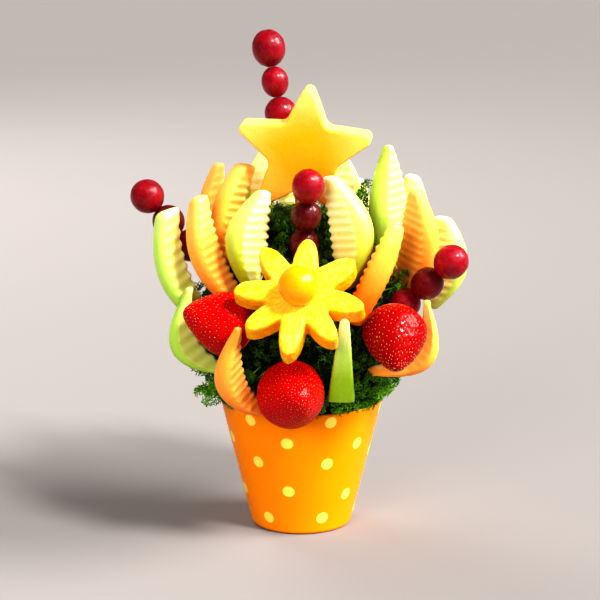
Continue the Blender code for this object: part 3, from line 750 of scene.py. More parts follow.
def melon_material(name, flesh, groove, peel, deep, pale, spread):
    """Crinkle-cut melon: pale ridges, grooves deepened by painted shade and a tinted side where the
    peel was.
    """
    finish, nodes, surface = new_material(
        name, Subsurface_Weight=0.34, Subsurface_Radius=spread, Subsurface_Scale=0.008,
        Coat_Weight=0.05, Coat_Roughness=0.15)
    where = nodes.place()
    across, crest, depth = nodes.split(nodes.stored("cut"))
    mottle = moist(nodes, where, 800.0, 0.46, 0.24, surface, 0.00022)
    # Painted shade: the grooves get a deeper colour than the crests.
    ribs = nodes.span(nodes.times_plus(mottle, 0.4, crest), -0.7, 1.1)
    colour = nodes.mix(ribs, groove, flesh)
    smooth_side = nodes.span(nodes.times_plus(mottle, 0.06, across), 0.5, 0.68, smooth=True)
    colour = nodes.mix(smooth_side, colour, peel)
    # Painted shade: the colour deepens towards the foot.
    painted_shade = nodes.times(nodes.span(depth, 0.0, 1.0), nodes.span(mottle, 0.0, 1.0, 0.9, 1.0))
    painted_shade = nodes.times(painted_shade, nodes.span(smooth_side, 0.0, 1.0, 0.55, 1.0))
    colour = nodes.mix(painted_shade, colour, deep)
    # Painted light: the colour pales towards the tip.
    tip = nodes.span(nodes.times_plus(mottle, 0.06, depth), 0.1, -0.35)
    colour = nodes.mix(nodes.times(tip, 0.8), colour, pale)
    heart = nodes.span(nodes.times_plus(mottle, 0.3, across), -0.5, -1.0)
    colour = nodes.mix(nodes.times(heart, 0.4), colour, pale)
    veins = nodes.noise(nodes.stretched(where, (1.0, 1.0, 0.35)), 420.0, 4.0, 0.65)
    colour = nodes.mix(nodes.span(veins, 0.5, 0.75, 0.0, 0.1), colour, pale)
    nodes.feed_all(surface, Base_Color=colour)
    return finish


def star_material():
    """Yellow melon: deep in the middle, paled by painted light at its tips and cut sides."""
    look = settings("melon")
    finish, nodes, surface = new_material(
        "Yellow melon", Subsurface_Weight=0.25, Subsurface_Radius=(1.0, 0.6, 0.2),
        Subsurface_Scale=0.008, Coat_Weight=0.04, Coat_Roughness=0.15, Specular_IOR_Level=0.14)
    x, y, z = nodes.split(nodes.stored("local"))
    mottle = moist(nodes, nodes.place(), 650.0, 0.48, 0.28, surface, 0.0002)
    off_middle = nodes.times_plus(mottle, 0.004, nodes.reach(x, y))
    towards_tip = nodes.span(off_middle, 0.014, 0.044, smooth=True)
    # Painted light pales the upper tips most; painted shade deepens the lower half.
    pale = nodes.times(towards_tip, nodes.span(y, -0.04, 0.04, 0.1, 1.0))
    body = nodes.mix(nodes.span(y, -0.03, 0.012), look.star_low, look.star)
    # Painted light: the cut sides are paled.
    cut_side = nodes.span(nodes.calc("ABSOLUTE", z), 0.0092, 0.0070, smooth=True)
    colour = nodes.mix(cut_side, nodes.mix(pale, body, look.star_pale), look.star_pale)
    colour = nodes.mix(nodes.times(mottle, 0.05), colour, look.star_pale)
    nodes.feed_all(surface, Base_Color=colour)
    return finish


def ball_material():
    """Orange melon, glossy where it was scooped."""
    look = settings("melon")
    finish, nodes, surface = new_material(
        "Melon ball", Subsurface_Weight=0.3, Subsurface_Radius=(1.0, 0.6, 0.2),
        Subsurface_Scale=0.006, Coat_Weight=0.15, Coat_Roughness=0.1)
    mottle = moist(nodes, nodes.place(), 900.0, 0.4, 0.22, surface, 0.00012)
    nodes.feed_all(surface, Base_Color=nodes.mix(nodes.times(mottle, 0.4), look.ball, look.star))
    return finish


def pineapple_material():
    """Pineapple: fibres that run out from the middle, and cut sides deepened by painted shade."""
    look = settings("pineapple")
    finish, nodes, surface = new_material(
        "Pineapple", Subsurface_Weight=0.2, Subsurface_Radius=(1.0, 0.7, 0.15),
        Subsurface_Scale=0.006, Coat_Weight=0.08, Coat_Roughness=0.15)
    where = nodes.stored("local")
    x, y, z = nodes.split(where)
    film = nodes.group(wet_film(), Vector=where, Grain=900.0, Driest=0.5, Wettest=0.22)
    rays = nodes.add("ShaderNodeCombineXYZ", {
        "X": nodes.times(nodes.calc("ARCTAN2", y, x), 5.0),
        "Y": nodes.times(nodes.reach(x, y), 45.0),
        "Z": nodes.times(z, 90.0)}).outputs["Vector"]
    fibres = nodes.noise(rays, 4.5, 5.0, 0.6, 0.4)
    colour = nodes.mix(nodes.span(fibres, 0.42, 0.62), look.flesh, look.pale)
    colour = nodes.mix(nodes.times(film["Mottle"], 0.45), colour, look.flesh)
    # Painted shade: the cut sides get the deeper edge colour.
    cut_side = nodes.span(nodes.calc("ABSOLUTE", z), 0.0062, 0.0086, 1.0, 0.0, smooth=True)
    colour = nodes.mix(nodes.times(cut_side, 0.85), colour, look.edge)
    height = nodes.times_plus(fibres, 2.0, film["Height"])
    nodes.feed_all(surface, Base_Color=colour, Roughness=film["Roughness"],
                   Normal=nodes.bump(height, 0.0004))
    return finish


def grape_material():
    """Dark grape skin with streaks, specks, a little bloom, patchy gloss and painted shade."""
    look = settings("berry")
    finish, nodes, surface = new_material(
        "Grape skin", Subsurface_Weight=0.12, Subsurface_Radius=(1.0, 0.2, 0.15),
        Subsurface_Scale=0.004, Coat_Roughness=0.06, Specular_IOR_Level=0.16)
    where = nodes.stored("local")
    streaks = nodes.noise(nodes.stretched(where, (1.0, 1.0, 0.22)), 7.0, 5.0, 0.62, 0.3)
    patches = nodes.noise(where, 1.6, 3.0)
    specks = nodes.noise(where, 40.0, 2.0)
    bloom = nodes.span(nodes.noise(where, 2.3, 6.0, 0.7, 0.6), 0.45, 0.7, 0.0, look.bloom)
    gloss = nodes.noise(where, 11.0, 3.0, 0.7)
    colour = nodes.mix(nodes.span(patches, 0.3, 0.7, 0.45, 1.0), look.grape_dark_and_shade, look.grape)
    # Painted shade: darkens each grape by its own share.
    colour = nodes.mix(nodes.stored("dark", "Fac"), colour, look.grape_dark_and_shade)
    colour = nodes.mix(nodes.span(streaks, 0.56, 0.75, 0.0, 0.3), colour, look.grape_streak)
    colour = nodes.mix(nodes.span(specks, 0.66, 0.72, 0.0, 0.2), colour, look.grape_speck)
    nodes.feed_all(
        surface,
        Base_Color=nodes.mix(bloom, colour, look.grape_bloom),
        Roughness=nodes.span(bloom, 0.0, look.bloom, 0.22, 0.45),
        Coat_Weight=nodes.span(gloss, 0.44, 0.58, 0.0, 0.6),
        Normal=nodes.bump(nodes.noise(where, 16.0, 4.0, 0.7), 0.0003))
    return finish


def strawberry_material():
    """Strawberry skin: dark with painted shade in its dimples, and pale round its hull."""
    look = settings("berry")
    finish, nodes, surface = new_material(
        "Strawberry skin", Subsurface_Weight=0.15, Subsurface_Radius=(1.0, 0.15, 0.08),
        Subsurface_Scale=0.004, Coat_Weight=0.16, Coat_Roughness=0.07, Specular_IOR_Level=0.06)
    dimple, along, painted_shade = nodes.split(nodes.stored("skin"))
    mottle = moist(nodes, nodes.place(), 500.0, 0.42, 0.28, surface, 0.00018)
    colour = nodes.mix(nodes.times(mottle, 0.5), look.strawberry, look.strawberry_mottle)
    # Painted shade darkens the whole berry by its share.
    colour = nodes.mix(painted_shade, colour, look.strawberry_painted_shade)
    # Painted shade darkens the dimples.
    colour = nodes.mix(nodes.times(dimple, 0.45), colour, look.strawberry_dimple_shade)
    hull = nodes.span(nodes.times_plus(mottle, -0.12, along), -0.66, -0.84, smooth=True)
    nodes.feed_all(surface, Base_Color=nodes.mix(hull, colour, look.strawberry_pale))
    return finish


def seed_material():
    """Strawberry seeds, some darker than others."""
    look = settings("berry")
    finish, nodes, surface = new_material("Strawberry seed", Coat_Weight=0.2, Coat_Roughness=0.2)
    tone = nodes.noise(nodes.place(), 260.0, 2.0)
    nodes.feed_all(
        surface,
        Base_Color=nodes.mix(nodes.span(tone, 0.4, 0.62), look.seed, look.seed_dark),
        Roughness=nodes.span(tone, 0.3, 0.7, 0.3, 0.5))
    return finish


def pot_material(height, rim):
    """Glaze with soft clouds, a fine ripple and rows of dots."""
    look = settings("pot")
    finish, nodes, surface = new_material("Pot glaze", Coat_Weight=0.05, Coat_Roughness=0.1,
                                          Specular_IOR_Level=0.06)
    where = nodes.place()
    slant = 1.0 / math.cos(math.atan2(rim - POT_FOOT_SHARE * rim, height))
    mask = 0.0
    rows = dot_row()
    for share_up, turn, sway in DOT_ROWS:
        row = nodes.group(rows, Vector=where, Height=share_up * height, Turn=math.radians(turn),
                          Radius=look.dot_radius, Slant=slant, Sway=sway * MM)
        mask = nodes.calc("MAXIMUM", mask, row["Mask"])
    cloud = nodes.noise(where, 14.0, 3.0)
    body = nodes.mix(nodes.span(cloud, 0.35, 0.65, 0.0, 0.18), look.glaze, look.glaze_cloud)
    ripple = nodes.noise(where, 160.0, 2.0)
    specks = nodes.noise(where, 1500.0, 2.0)
    nodes.feed_all(
        surface,
        Base_Color=nodes.mix(mask, body, look.dots),
        Roughness=nodes.span(ripple, 0.3, 0.7, 0.24, 0.34),
        Normal=nodes.bump(nodes.times_plus(specks, 0.15, ripple), 0.00008))
    return finish


def bamboo_material():
    """Bamboo with fibres along its length."""
    look = settings("skewer")
    finish, nodes, surface = new_material("Bamboo")
    where = nodes.stored("local")
    grain = nodes.noise(nodes.stretched(where, (1.0, 1.0, 0.03)), 2600.0, 4.0, 0.6)
    nodes.feed_all(
        surface,
        Base_Color=nodes.mix(nodes.span(grain, 0.35, 0.65), look.dark, look.pale),
        Roughness=nodes.span(grain, 0.3, 0.7, 0.65, 0.45),
        Normal=nodes.bump(grain, 0.00008))
    return finish


def leaf_material():
    """Leaves from dark to bright green as their mark of tone and painted shade says, with veins."""
    look = settings("parsley")
    finish, nodes, surface = new_material("Parsley leaf", Coat_Weight=0.05, Coat_Roughness=0.3,
                                          Specular_IOR_Level=0.16)
    tone, rim, _ = nodes.split(nodes.stored("leaf"))
    veins = nodes.noise(nodes.place(), 380.0, 4.0, 0.6)
    relief = nodes.times_plus(nodes.span(veins, 0.35, 0.7), 0.5, 0.6)
    # Painted light: leaves are brighter towards the ends of their lobes.
    relief = nodes.times_plus(rim, 0.2, relief)
    share_bright = nodes.times(tone, relief, clamp=True)
    nodes.feed_all(
        surface,
        Base_Color=nodes.mix(share_bright, look.dark, look.bright),
        Roughness=nodes.span(veins, 0.3, 0.7, 0.5, 0.38),
        Normal=nodes.bump(veins, 0.0003))
    return finish


def core_material():
    """The crumpled leaves under the coat, dark with painted shade."""
    look = settings("parsley")
    finish, nodes, surface = new_material("Parsley core")
    crumple = nodes.noise(nodes.place(), 170.0, 5.0, 0.7, 0.6)
    # Painted shade: the core runs darker than the darkest leaf.
    shaded = tuple(0.35 * value for value in look.dark)
    nodes.feed_all(
        surface,
        Base_Color=nodes.mix(nodes.span(crumple, 0.45, 0.75), shaded, look.dark),
        Roughness=nodes.span(crumple, 0.3, 0.7, 0.75, 0.55),
        Normal=nodes.bump(crumple, 0.002))
    return finish


# ---- the pieces ----------------------------------------------------------------------


def fullness(wedge, along):
    """Share of the full section at a share of a wedge's length, as in its solid."""
    if wedge.square:
        return 1.0 + (wedge.tip_end - 1.0) * along
    end = wedge.foot_end if along < 0.5 else wedge.tip_end
    return end + (1 - end) * math.sin(math.pi * along)


# Half of a wedge's section, from the middle of its smooth peel side, over the edge where
# the ridges begin, to the middle of its inner side: shares of half width and thickness.
SECTION = ((1.2, 0.0), (1.15, 0.42), (1.0, 0.8), (0.76, 0.99), (0.52, 1.05), (0.4, 1.01),
           (-0.05, 0.84), (-0.5, 0.67), (-0.93, 0.51), (-1.07, 0.25), (-1.09, 0.0))
RIDGES_BEGIN = 0.6
# How much of a ring's offset is left once the surface is rounded.
ROUNDING_KEEPS = 0.375
# The ridges fade out over this share of the length at either end.
RIDGE_FADE = 0.2
# Height of the ridges on the inner side, against those on the cut sides.
INNER_RIDGE = 2.4
# How far each ring of an end cap stands out, in millimetres, and how it narrows.
ROUND_CAP = ((1.3, 0.84), (0.9, 0.62), (0.3, 0.4))
# The same for a square foot, with its crease and how far its long edges are pushed out.
SQUARE_CAP = ((0.1, 0.96), (0.05, 0.8))
SQUARE_CREASE = 0.85
SQUARE_EDGE = (0.16, 0.22)
# How much of its narrowing a wedge's thickness follows.
THINNING = 0.75
# The finishes of the wedges: the settings they use, their names and how light spreads in them.
MELON_FINISHES = (("honeydew", "Honeydew flesh", (1.0, 0.9, 0.45)),
                  ("green", "Green honeydew flesh", (1.0, 0.9, 0.45)),
                  ("cantaloupe", "Cantaloupe flesh", (1.0, 0.65, 0.25)))


def plain_wedge():
    """A straight bar with a wedge's section, one metre wide and high, to be copied."""
    sides = 2 * len(SECTION) - 2
    bar = start_from(bpy.ops.mesh.primitive_cylinder_add, vertices=sides, radius=1.0, depth=1.0,
                     rotation=(0, 0, math.radians(90)), location=(0, 0, 0.5))
    settle(bar)
    with editing(bar):
        for rank, (x, y) in enumerate(SECTION):
            for side in (1, -1) if y else (1,):
                corner = polar(1.0, side * rank * 360 / sides).to_3d()
                pick(bar, "verts", lambda vert: (vert.co.xy - corner.xy).length < 0.05)
                move_picked(*(Vector((x, side * y, 0.0)) - corner))
    return bar


def arch_at(wedge, along):
    """How far a wedge stands out from the line between its ends, at a share of its length."""
    return wedge.arch * (1 - (2 * along - 1) ** 2)


def shape_ring(piece, wedge, along, level, ridge):
    """Gives one ring of corners its ridge or groove, and the wedge's size and arch there."""
    full = fullness(wedge, along)
    half_width = wedge.width * full / 2
    half_thick = wedge.thick * (1 - THINNING + THINNING * full) / 2

    def pick_ring(test=lambda spot: True):
        pick(piece, "verts", lambda vert: abs(vert.co.z - along) < level and test(vert.co))

    for side in (1, -1):
        pick_ring(lambda spot: spot.x < RIDGES_BEGIN and side * spot.y > 0.1)
        move_picked(0, side * ridge / half_thick, 0)
    if wedge.square:
        for side in (1, -1):
            pick_ring(lambda spot: side * spot.y > 0.7 and 0.9 < spot.x < 1.05)
            move_picked(SQUARE_EDGE[0], side * SQUARE_EDGE[1], 0)
    pick_ring(lambda spot: spot.x < -0.8)
    move_picked(-INNER_RIDGE * ridge / half_width, 0, 0)
    pick_ring()
    scale_picked(half_width * MM, half_thick * MM, 1.0, (0, 0, along))
    move_picked(arch_at(wedge, along) * MM, 0, 0)


def close_end(piece, height, way, cap):
    """Rounds an end off with the rings of a cap."""
    pick(piece, "faces", lambda face: len(face.verts) > 4 and abs(face.verts[0].co.z - height) < MM)
    for out, size in cap:
        extrude_up(way * out * MM)
        scale_picked(size, size, 1)


def model_wedge(bar, wedge):
    """Cuts a copy of the bar into rings, shapes each, closes the ends and rounds it all."""
    piece = copy_of(bar)
    look = settings("melon")
    long = (Vector(wedge.tip) - Vector(wedge.foot)).length
    rings = 2 * round(long / (wedge.spacing * look.pitch / MM)) + 1
    height = look.ridge / MM * wedge.crinkle / ROUNDING_KEEPS
    with editing(piece, "EDGE"):
        pick(piece, "edges", lambda edge: rise_of(edge) > 0.5)
        bpy.ops.mesh.subdivide(number_cuts=rings - 2)
        bpy.ops.mesh.select_mode(type="VERT")
        for ring in range(rings):
            along = ring / (rings - 1)
            ridge = height * (-1) ** ring * min(1.0, along / RIDGE_FADE, (1 - along) / RIDGE_FADE)
            shape_ring(piece, wedge, along, 0.2 / rings, ridge)
        pick_all()
        scale_picked(1, 1, long * MM)
        bpy.ops.mesh.select_mode(type="FACE")
        close_end(piece, 0.0, -1, SQUARE_CAP if wedge.square else ROUND_CAP)
        close_end(piece, long * MM, 1, ROUND_CAP)
        if wedge.square:
            bpy.ops.mesh.select_mode(type="EDGE")
            pick(piece, "edges", lambda edge: all(abs(vert.co.z) < 0.01 * MM for vert in edge.verts))
            bpy.ops.transform.edge_crease(value=SQUARE_CREASE)
    subdivide_smooth(piece, 2)
    mark(piece, "cut", wedge_marks(piece, wedge, long, rings))
    return piece


def wedge_marks(piece, wedge, long, rings):
    """For each corner: how near the peel side it is, crest or groove, and how deep its colour is, by
    painted shade at the foot and painted light at the tip.
    """
    places = corners_of(piece) / MM
    along = np.clip(places[:, 2] / long, 0.0, 1.0)
    full = np.array([fullness(wedge, share_of) for share_of in along])
    across = (places[:, 0] - arch_at(wedge, along)) / (wedge.width * full / 2)
    crest = np.cos(math.pi * along * (rings - 1)) * min(1.0, wedge.crinkle)
    # Painted shade deepens the colour at the foot, and painted light pales it at the tip.
    depth = wedge.tone + wedge.foot_shade * (1.0 - along) ** 1.6
    return np.stack([across, crest, depth], axis=1)


class BOUQUET_OT_wedges(bpy.types.Operator):
    """Models the crinkle-cut honeydew and cantaloupe wedges"""

    bl_idname = "bouquet.wedges"
    bl_label = "Melon wedges"

    def execute(self, context):
        look = settings("melon")
        parts = ("", "_groove", "_peel", "_deep", "_pale")
        finishes = {
            fruit: melon_material(name, *(getattr(look, fruit + part) for part in parts), spread)
            for fruit, name, spread in MELON_FINISHES}
        bar = plain_wedge()
        for name, wedge in WEDGES.items():
            piece = model_wedge(bar, wedge)
            turn = pose(Vector(wedge.tip) - Vector(wedge.foot), wedge.peel)
            fruit = name.split("_")[0]
            finish = finishes["green" if name in GREEN_WEDGES else fruit]
            set_down(piece, name, "fresh", wedge.foot, turn, finish, fruit)
        discard(bar)
        return {"FINISHED"}


def grape_places():
    """Yields each grape's node, middle, direction, radius, half length and painted shade."""
    for row_name, row in GRAPE_ROWS.items():
        way = Vector(row.way).normalized()
        reached = 0.0
        for number, (radius, half, dark) in enumerate(row.grapes, 1):
            middle = Vector(row.start) + way * (reached + half)
            yield f"{row_name}_{number}", middle, way, radius, half, dark
            reached += 2 * half + GRAPE_GAP


# How deep and how wide the pit at a grape's end is, and how much longer its middle gets.
GRAPE_PIT = 0.05
GRAPE_PIT_REACH = 0.2
GRAPE_FULLNESS = 1.04


def plain_grape():
    """A grape of radius 1: blunt ends with a shallow pit where the skewer goes in."""
    ball = start_from(bpy.ops.mesh.primitive_uv_sphere_add, segments=40, ring_count=26, radius=1.0)
    with editing(ball):
        for end in (1, -1):
            pick(ball, "verts", lambda vert: vert.co.z * end > 0.999)
            bpy.ops.transform.translate(value=(0, 0, -GRAPE_PIT * end), use_proportional_edit=True,
                                        proportional_edit_falloff="SMOOTH",
                                        proportional_size=GRAPE_PIT_REACH)
        pick(ball, "verts", lambda vert: abs(vert.co.z) < 0.5)
        scale_picked(1.0, 1.0, GRAPE_FULLNESS)
    return ball


class BOUQUET_OT_grapes(bpy.types.Operator):
    """Models the red grapes, each a little different, on their skewers"""

    bl_idname = "bouquet.grapes"
    bl_label = "Grapes"

    def execute(self, context):
        finish = grape_material()
        ball = plain_grape()
        for number, (name, middle, way, radius, half, dark) in enumerate(grape_places()):
            piece = copy_of(ball)
            mark(piece, "local", corners_of(piece) + np.array([5.0 * number, 0.0, 3.0 * number]))
            # The share of painted shade that darkens this grape.
            mark(piece, "dark", np.full(len(piece.data.vertices), dark))
            piece.scale = (radius * MM, radius * MM, (half + GRAPE_GAP) * MM)
            settle(piece)
            with editing(piece):
                pick_all()
                bpy.ops.transform.rotate(value=2.1 * number, orient_axis="Z",
                                         center_override=(0, 0, 0))
            roughen(piece, f"Grape form {number}", 0.012, 0.4 * MM)
            set_down(piece, name, "fresh", middle, pose(way, (0, -1, 0.3)), finish, "grape")
        discard(ball)
        return {"FINISHED"}


# On a ball of radius 1 a berry narrows by this much for each unit of height, from this far
# below the middle, and its shoulders are cut flat this far below the middle.
BERRY_TAPER = 0.38
BERRY_WIDEST = 0.3
BERRY_SHOULDER = 0.8
# The heights between which seeds sit on that ball.
SEEDS_FROM = -0.66
SEEDS_TO = 0.995
# How wide a dimple is, and how far a seed stands up in it.
DIMPLE_REACH = 0.95
SEED_RAISED = 0.12


def taper_at(height):
    """The share of a berry's radius left at a height, on a ball of radius 1."""
    return 1.0 - BERRY_TAPER * max(0.0, height + BERRY_WIDEST)


def plain_strawberry():
    """A strawberry of radius 1, tip up, with its shoulders cut flat where the hull was."""
    ball = start_from(bpy.ops.mesh.primitive_uv_sphere_add, segments=144, ring_count=92, radius=1.0)
    heights = sorted({round(vert.co.z, 5) for vert in ball.data.vertices})
    with editing(ball):
        for height in heights:
            pick(ball, "verts", lambda vert: abs(vert.co.z - height) < 0.0001)
            scale_picked(taper_at(height), taper_at(height), 1.0)
        pick(ball, "verts", lambda vert: vert.co.z < -BERRY_SHOULDER)
        scale_picked(1, 1, 0.1, (0, 0, -BERRY_SHOULDER))
    return ball


def seed_spots(berry, spacing):
    """Evenly spread places for a berry's seeds, a little out of line."""
    count = round(4 * math.pi * berry.radius * berry.half / spacing ** 2)
    for number in range(count):
        off_line = 0.2 * spacing / berry.half * math.sin(7.3 * number)
        height = 1.0 - 2.0 * (number + 0.5) / count + off_line
        if SEEDS_FROM < height < SEEDS_TO:
            turn = GOLDEN_ANGLE * number + 0.2 * spacing / berry.radius * math.sin(12.9 * number)
            out = math.sqrt(1.0 - height * height) * taper_at(height) * berry.radius
            yield Vector((out * math.cos(turn), out * math.sin(turn), height * berry.half)) * MM


def seat_seed(skin, spot, usual_size):
    """Where a seed lies: on the skin next to a spot, with its point towards the berry's tip."""
    place, normal, _, _ = skin.find_nearest(spot)
    tip = Vector((0, 0, 1))
    flat = tip - tip.dot(normal) * normal
    flat = flat.normalized() if flat.length > 0.01 else normal.orthogonal().normalized()
    turn = Matrix((flat, normal.cross(flat), normal)).transposed()
    size = usual_size * (0.85 + 0.3 * ((place.x * 9173.0) % 1.0))
    return stand(place + normal * SEED_RAISED * MM, turn) @ Matrix.Scale(size, 4)


def press_dimples(piece, spots, depth, reach):
    """Presses a soft dimple of that depth at each spot, and returns how deep each corner went."""
    places = corners_of(piece)
    press = np.zeros(len(places))
    for spot in spots:
        away = ((places - np.array(spot)) ** 2).sum(axis=1)
        press = np.maximum(press, np.exp(-away / (2 * reach * reach)))
    pressed = piece.vertex_groups.new(name="Dimples")
    for number in np.nonzero(press > 0.01)[0]:
        pressed.add([int(number)], float(press[number]), "REPLACE")
    apply_modifier(piece, "Dimples", "DISPLACE", strength=-depth, mid_level=0.0,
                   vertex_group="Dimples")
    piece.vertex_groups.clear()
    return press


def plain_seed():
    """A strawberry seed one metre long, pointed at one end."""
    seed = start_from(bpy.ops.mesh.primitive_uv_sphere_add, segments=6, ring_count=5, radius=0.5)
    with editing(seed):
        pick_all()
        bpy.ops.transform.rotate(value=math.radians(90), orient_axis="Y", center_override=(0, 0, 0))
        scale_picked(1.0, 0.62, 0.42)
        pick(seed, "verts", lambda vert: vert.co.x > 0.1)
        scale_picked(1.0, 0.7, 0.8)
    return seed


class BOUQUET_OT_strawberries(bpy.types.Operator):
    """Models the strawberries with a dimple and a seed at every place on a spiral"""

    bl_idname = "bouquet.strawberries"
    bl_label = "Strawberries"

    def execute(self, context):
        look = settings("berry")
        finish = strawberry_material()
        ball = plain_strawberry()
        seed_places = []
        for number, (name, berry) in enumerate(STRAWBERRIES.items()):
            piece = copy_of(ball)
            piece.scale = (berry.radius * MM, berry.radius * MM, berry.half * MM)
            settle(piece)
            along = corners_of(piece)[:, 2] / (berry.half * MM)
            spots = list(seed_spots(berry, look.seed_spacing / MM))
            press = press_dimples(piece, spots, look.dimple, DIMPLE_REACH * MM)
            roughen(piece, f"Berry form {number}", 0.017 + 0.002 * number, 1.6 * MM)
            # The share of painted shade for the whole berry.
            painted_shade = np.full_like(along, berry.painted_shade)
            mark(piece, "skin", np.stack([press, along, painted_shade], axis=1))
            turn = pose(berry.way, (0, 0, 1))
            at = stand(Vector(berry.middle) * MM, turn)
            skin = BVHTree.FromObject(piece, context.evaluated_depsgraph_get())
            for spot in spots:
                seed_places.append(np.array(at @ seat_seed(skin, spot, look.seed_length)))
            set_down(piece, name, "fresh", berry.middle, turn, finish, "strawberry")
        discard(ball)
        seed = plain_seed()
        seeds = joined_copies("strawberry_seeds", seed, seed_places)
        hand_over(seeds, "strawberry_seeds", seed_material(), "strawberry")
        discard(seed)
        return {"FINISHED"}


def star_outline():
    """Five points with a notch between each two, all of them rounded by arcs."""
    outline = []
    for tip, reach in STAR_POINTS:
        for swing in range(-66, 67, 22):
            outline.append(polar(reach - STAR_TIP_ROUND, tip) + polar(STAR_TIP_ROUND, tip + swing))
        notch = tip + 36
        middle = polar(STAR_NOTCH_RADIUS + STAR_NOTCH_ROUND, notch)
        for swing in range(48, -49, -24):
            outline.append(middle + polar(STAR_NOTCH_ROUND, notch + 180 + swing))
    return outline


def daisy_outline():
    """Eight petals that narrow to round tips, each as long as the table gives."""
    outline = []
    for number, (middle, reach) in enumerate(PETALS):
        before = PETALS[number - 1][0] - (360 if number == 0 else 0)
        after = PETALS[(number + 1) % len(PETALS)][0] + (360 if number + 1 == len(PETALS) else 0)
        for step in range(1 - PETAL_STEPS // 2, 1 + PETAL_STEPS // 2):
            share_of = 2 * step / PETAL_STEPS
            half_gap = (after - middle if share_of > 0 else middle - before) / 2
            swell = max(0.0, math.cos(math.pi / 2 * share_of)) ** PETAL_FULLNESS
            radius = DAISY_NOTCH_RADIUS + (reach - DAISY_NOTCH_RADIUS) * swell
            outline.append(polar(radius, middle + half_gap * share_of))
    return outline


def model_slab(outline, thickness, edge, cell, smoothing):
    """A slab of a flat outline with rounded edges, its face towards +Z."""
    slab = start_from(bpy.ops.mesh.primitive_circle_add, vertices=len(outline), radius=1.0)
    with editing(slab):
        shape = bmesh.from_edit_mesh(slab.data)
        shape.verts.ensure_lookup_table()
        first = [vert.co.copy() for vert in shape.verts]
        for number, spot in enumerate(reversed(outline)):
            pick(slab, "verts", lambda vert: vert.index == number)
            goal = Vector((spot.x * MM, spot.y * MM, -thickness / 2 * MM))
            move_picked(*(goal - first[number]))
        pick_all()
        bpy.ops.mesh.edge_face_add()
        extrude_up(thickness * MM)
        face_outwards()
        bpy.ops.mesh.select_mode(type="EDGE")
        pick(slab, "edges", lambda part: rise_of(part) < 1e-6)
        bevel_picked(edge * MM, 3)
    remesh(slab, cell * MM, smoothing)
    return slab


class BOUQUET_OT_star(bpy.types.Operator):
    """Models the star cut from a thick slice of yellow melon"""

    bl_idname = "bouquet.star"
    bl_label = "Melon star"

    def execute(self, context):
        star = model_slab(star_outline(), STAR_THICKNESS, 1.3, 0.85, 2)
        mark(star, "local", corners_of(star))
        roughen(star, "Knife marks", 0.02, 0.7 * MM)
        set_down(star, "melon_star", "fresh", STAR_MIDDLE, pose(STAR_FACING, (1, 0, 0)),
                 star_material(), "yellow_melon")
        return {"FINISHED"}


class BOUQUET_OT_daisy(bpy.types.Operator):
    """Models the daisy cut from a slice of pineapple"""

    bl_idname = "bouquet.daisy"
    bl_label = "Pineapple daisy"

    def execute(self, context):
        daisy = model_slab(daisy_outline(), DAISY_THICKNESS, 2.6, 0.8, 4)
        mark(daisy, "local", corners_of(daisy))
        roughen(daisy, "Soft unevenness", 0.012, 1.2 * MM)
        roughen(daisy, "Fibre ends", 0.003, 0.35 * MM)
        set_down(daisy, "pineapple_daisy", "fresh", DAISY_MIDDLE, pose(DAISY_FACING, (1, 0, 0)),
                 pineapple_material(), "pineapple")
        return {"FINISHED"}


class BOUQUET_OT_ball(bpy.types.Operator):
    """Models the melon ball in the middle of the daisy"""

    bl_idname = "bouquet.ball"
    bl_label = "Melon ball"

    def execute(self, context):
        ball = start_from(bpy.ops.mesh.primitive_uv_sphere_add, segments=64, ring_count=40,
                          radius=BALL_RADIUS * MM)
        with editing(ball):
            pick_all()
            bpy.ops.mesh.bisect(plane_co=(0, 0, -BALL_FLAT * MM), plane_no=(0, 0, 1),
                                use_fill=True, clear_inner=True)
            bpy.ops.mesh.select_mode(type="EDGE")
            pick(ball, "edges", lambda part: all(abs(vert.co.z + BALL_FLAT * MM) < 1e-6
                                                 for vert in part.verts))
            bevel_picked(0.5 * MM)
        roughen(ball, "Scoop marks", 0.014, 0.6 * MM)
        facing = Vector(DAISY_FACING).normalized()
        middle = Vector(DAISY_MIDDLE) + facing * (DAISY_THICKNESS / 2 + BALL_GAP + BALL_FLAT)
        set_down(ball, "melon_ball", "fresh", middle, pose(facing, (1, 0, 0)), ball_material(),
                 "cantaloupe")
        return {"FINISHED"}


class BOUQUET_OT_skewers(bpy.types.Operator):
    """Models each bamboo skewer where its node stands"""

    bl_idname = "bouquet.skewers"
    bl_label = "Skewers"

    def execute(self, context):
        finish = bamboo_material()
        for name in sorted(node for node in frame["nodes"] if node.startswith("skewer_")):
            inner, outer, radius = skewer_axis(frame["nodes"][name])
            long = (outer - inner).length
            stick = start_from(bpy.ops.mesh.primitive_cylinder_add, vertices=16, radius=radius,
                               depth=long)
            with editing(stick, "EDGE"):
                pick(stick, "edges", lambda part: rise_of(part) > 0.5 * long)
                bpy.ops.mesh.subdivide(number_cuts=6)
                pick(stick, "edges", lambda part: all(abs(vert.co.z) > 0.49 * long
                                                      for vert in part.verts))
                bevel_picked(0.3 * MM)
            mark(stick, "local", corners_of(stick))
            roughen(stick, "Split fibres " + name, 0.004, 0.12 * MM)
            turn = pose(outer - inner, (1, 0.2, 0))
            set_down(stick, name, "bamboo", (inner + outer) / 2 / MM, turn, finish, "bamboo")
        return {"FINISHED"}


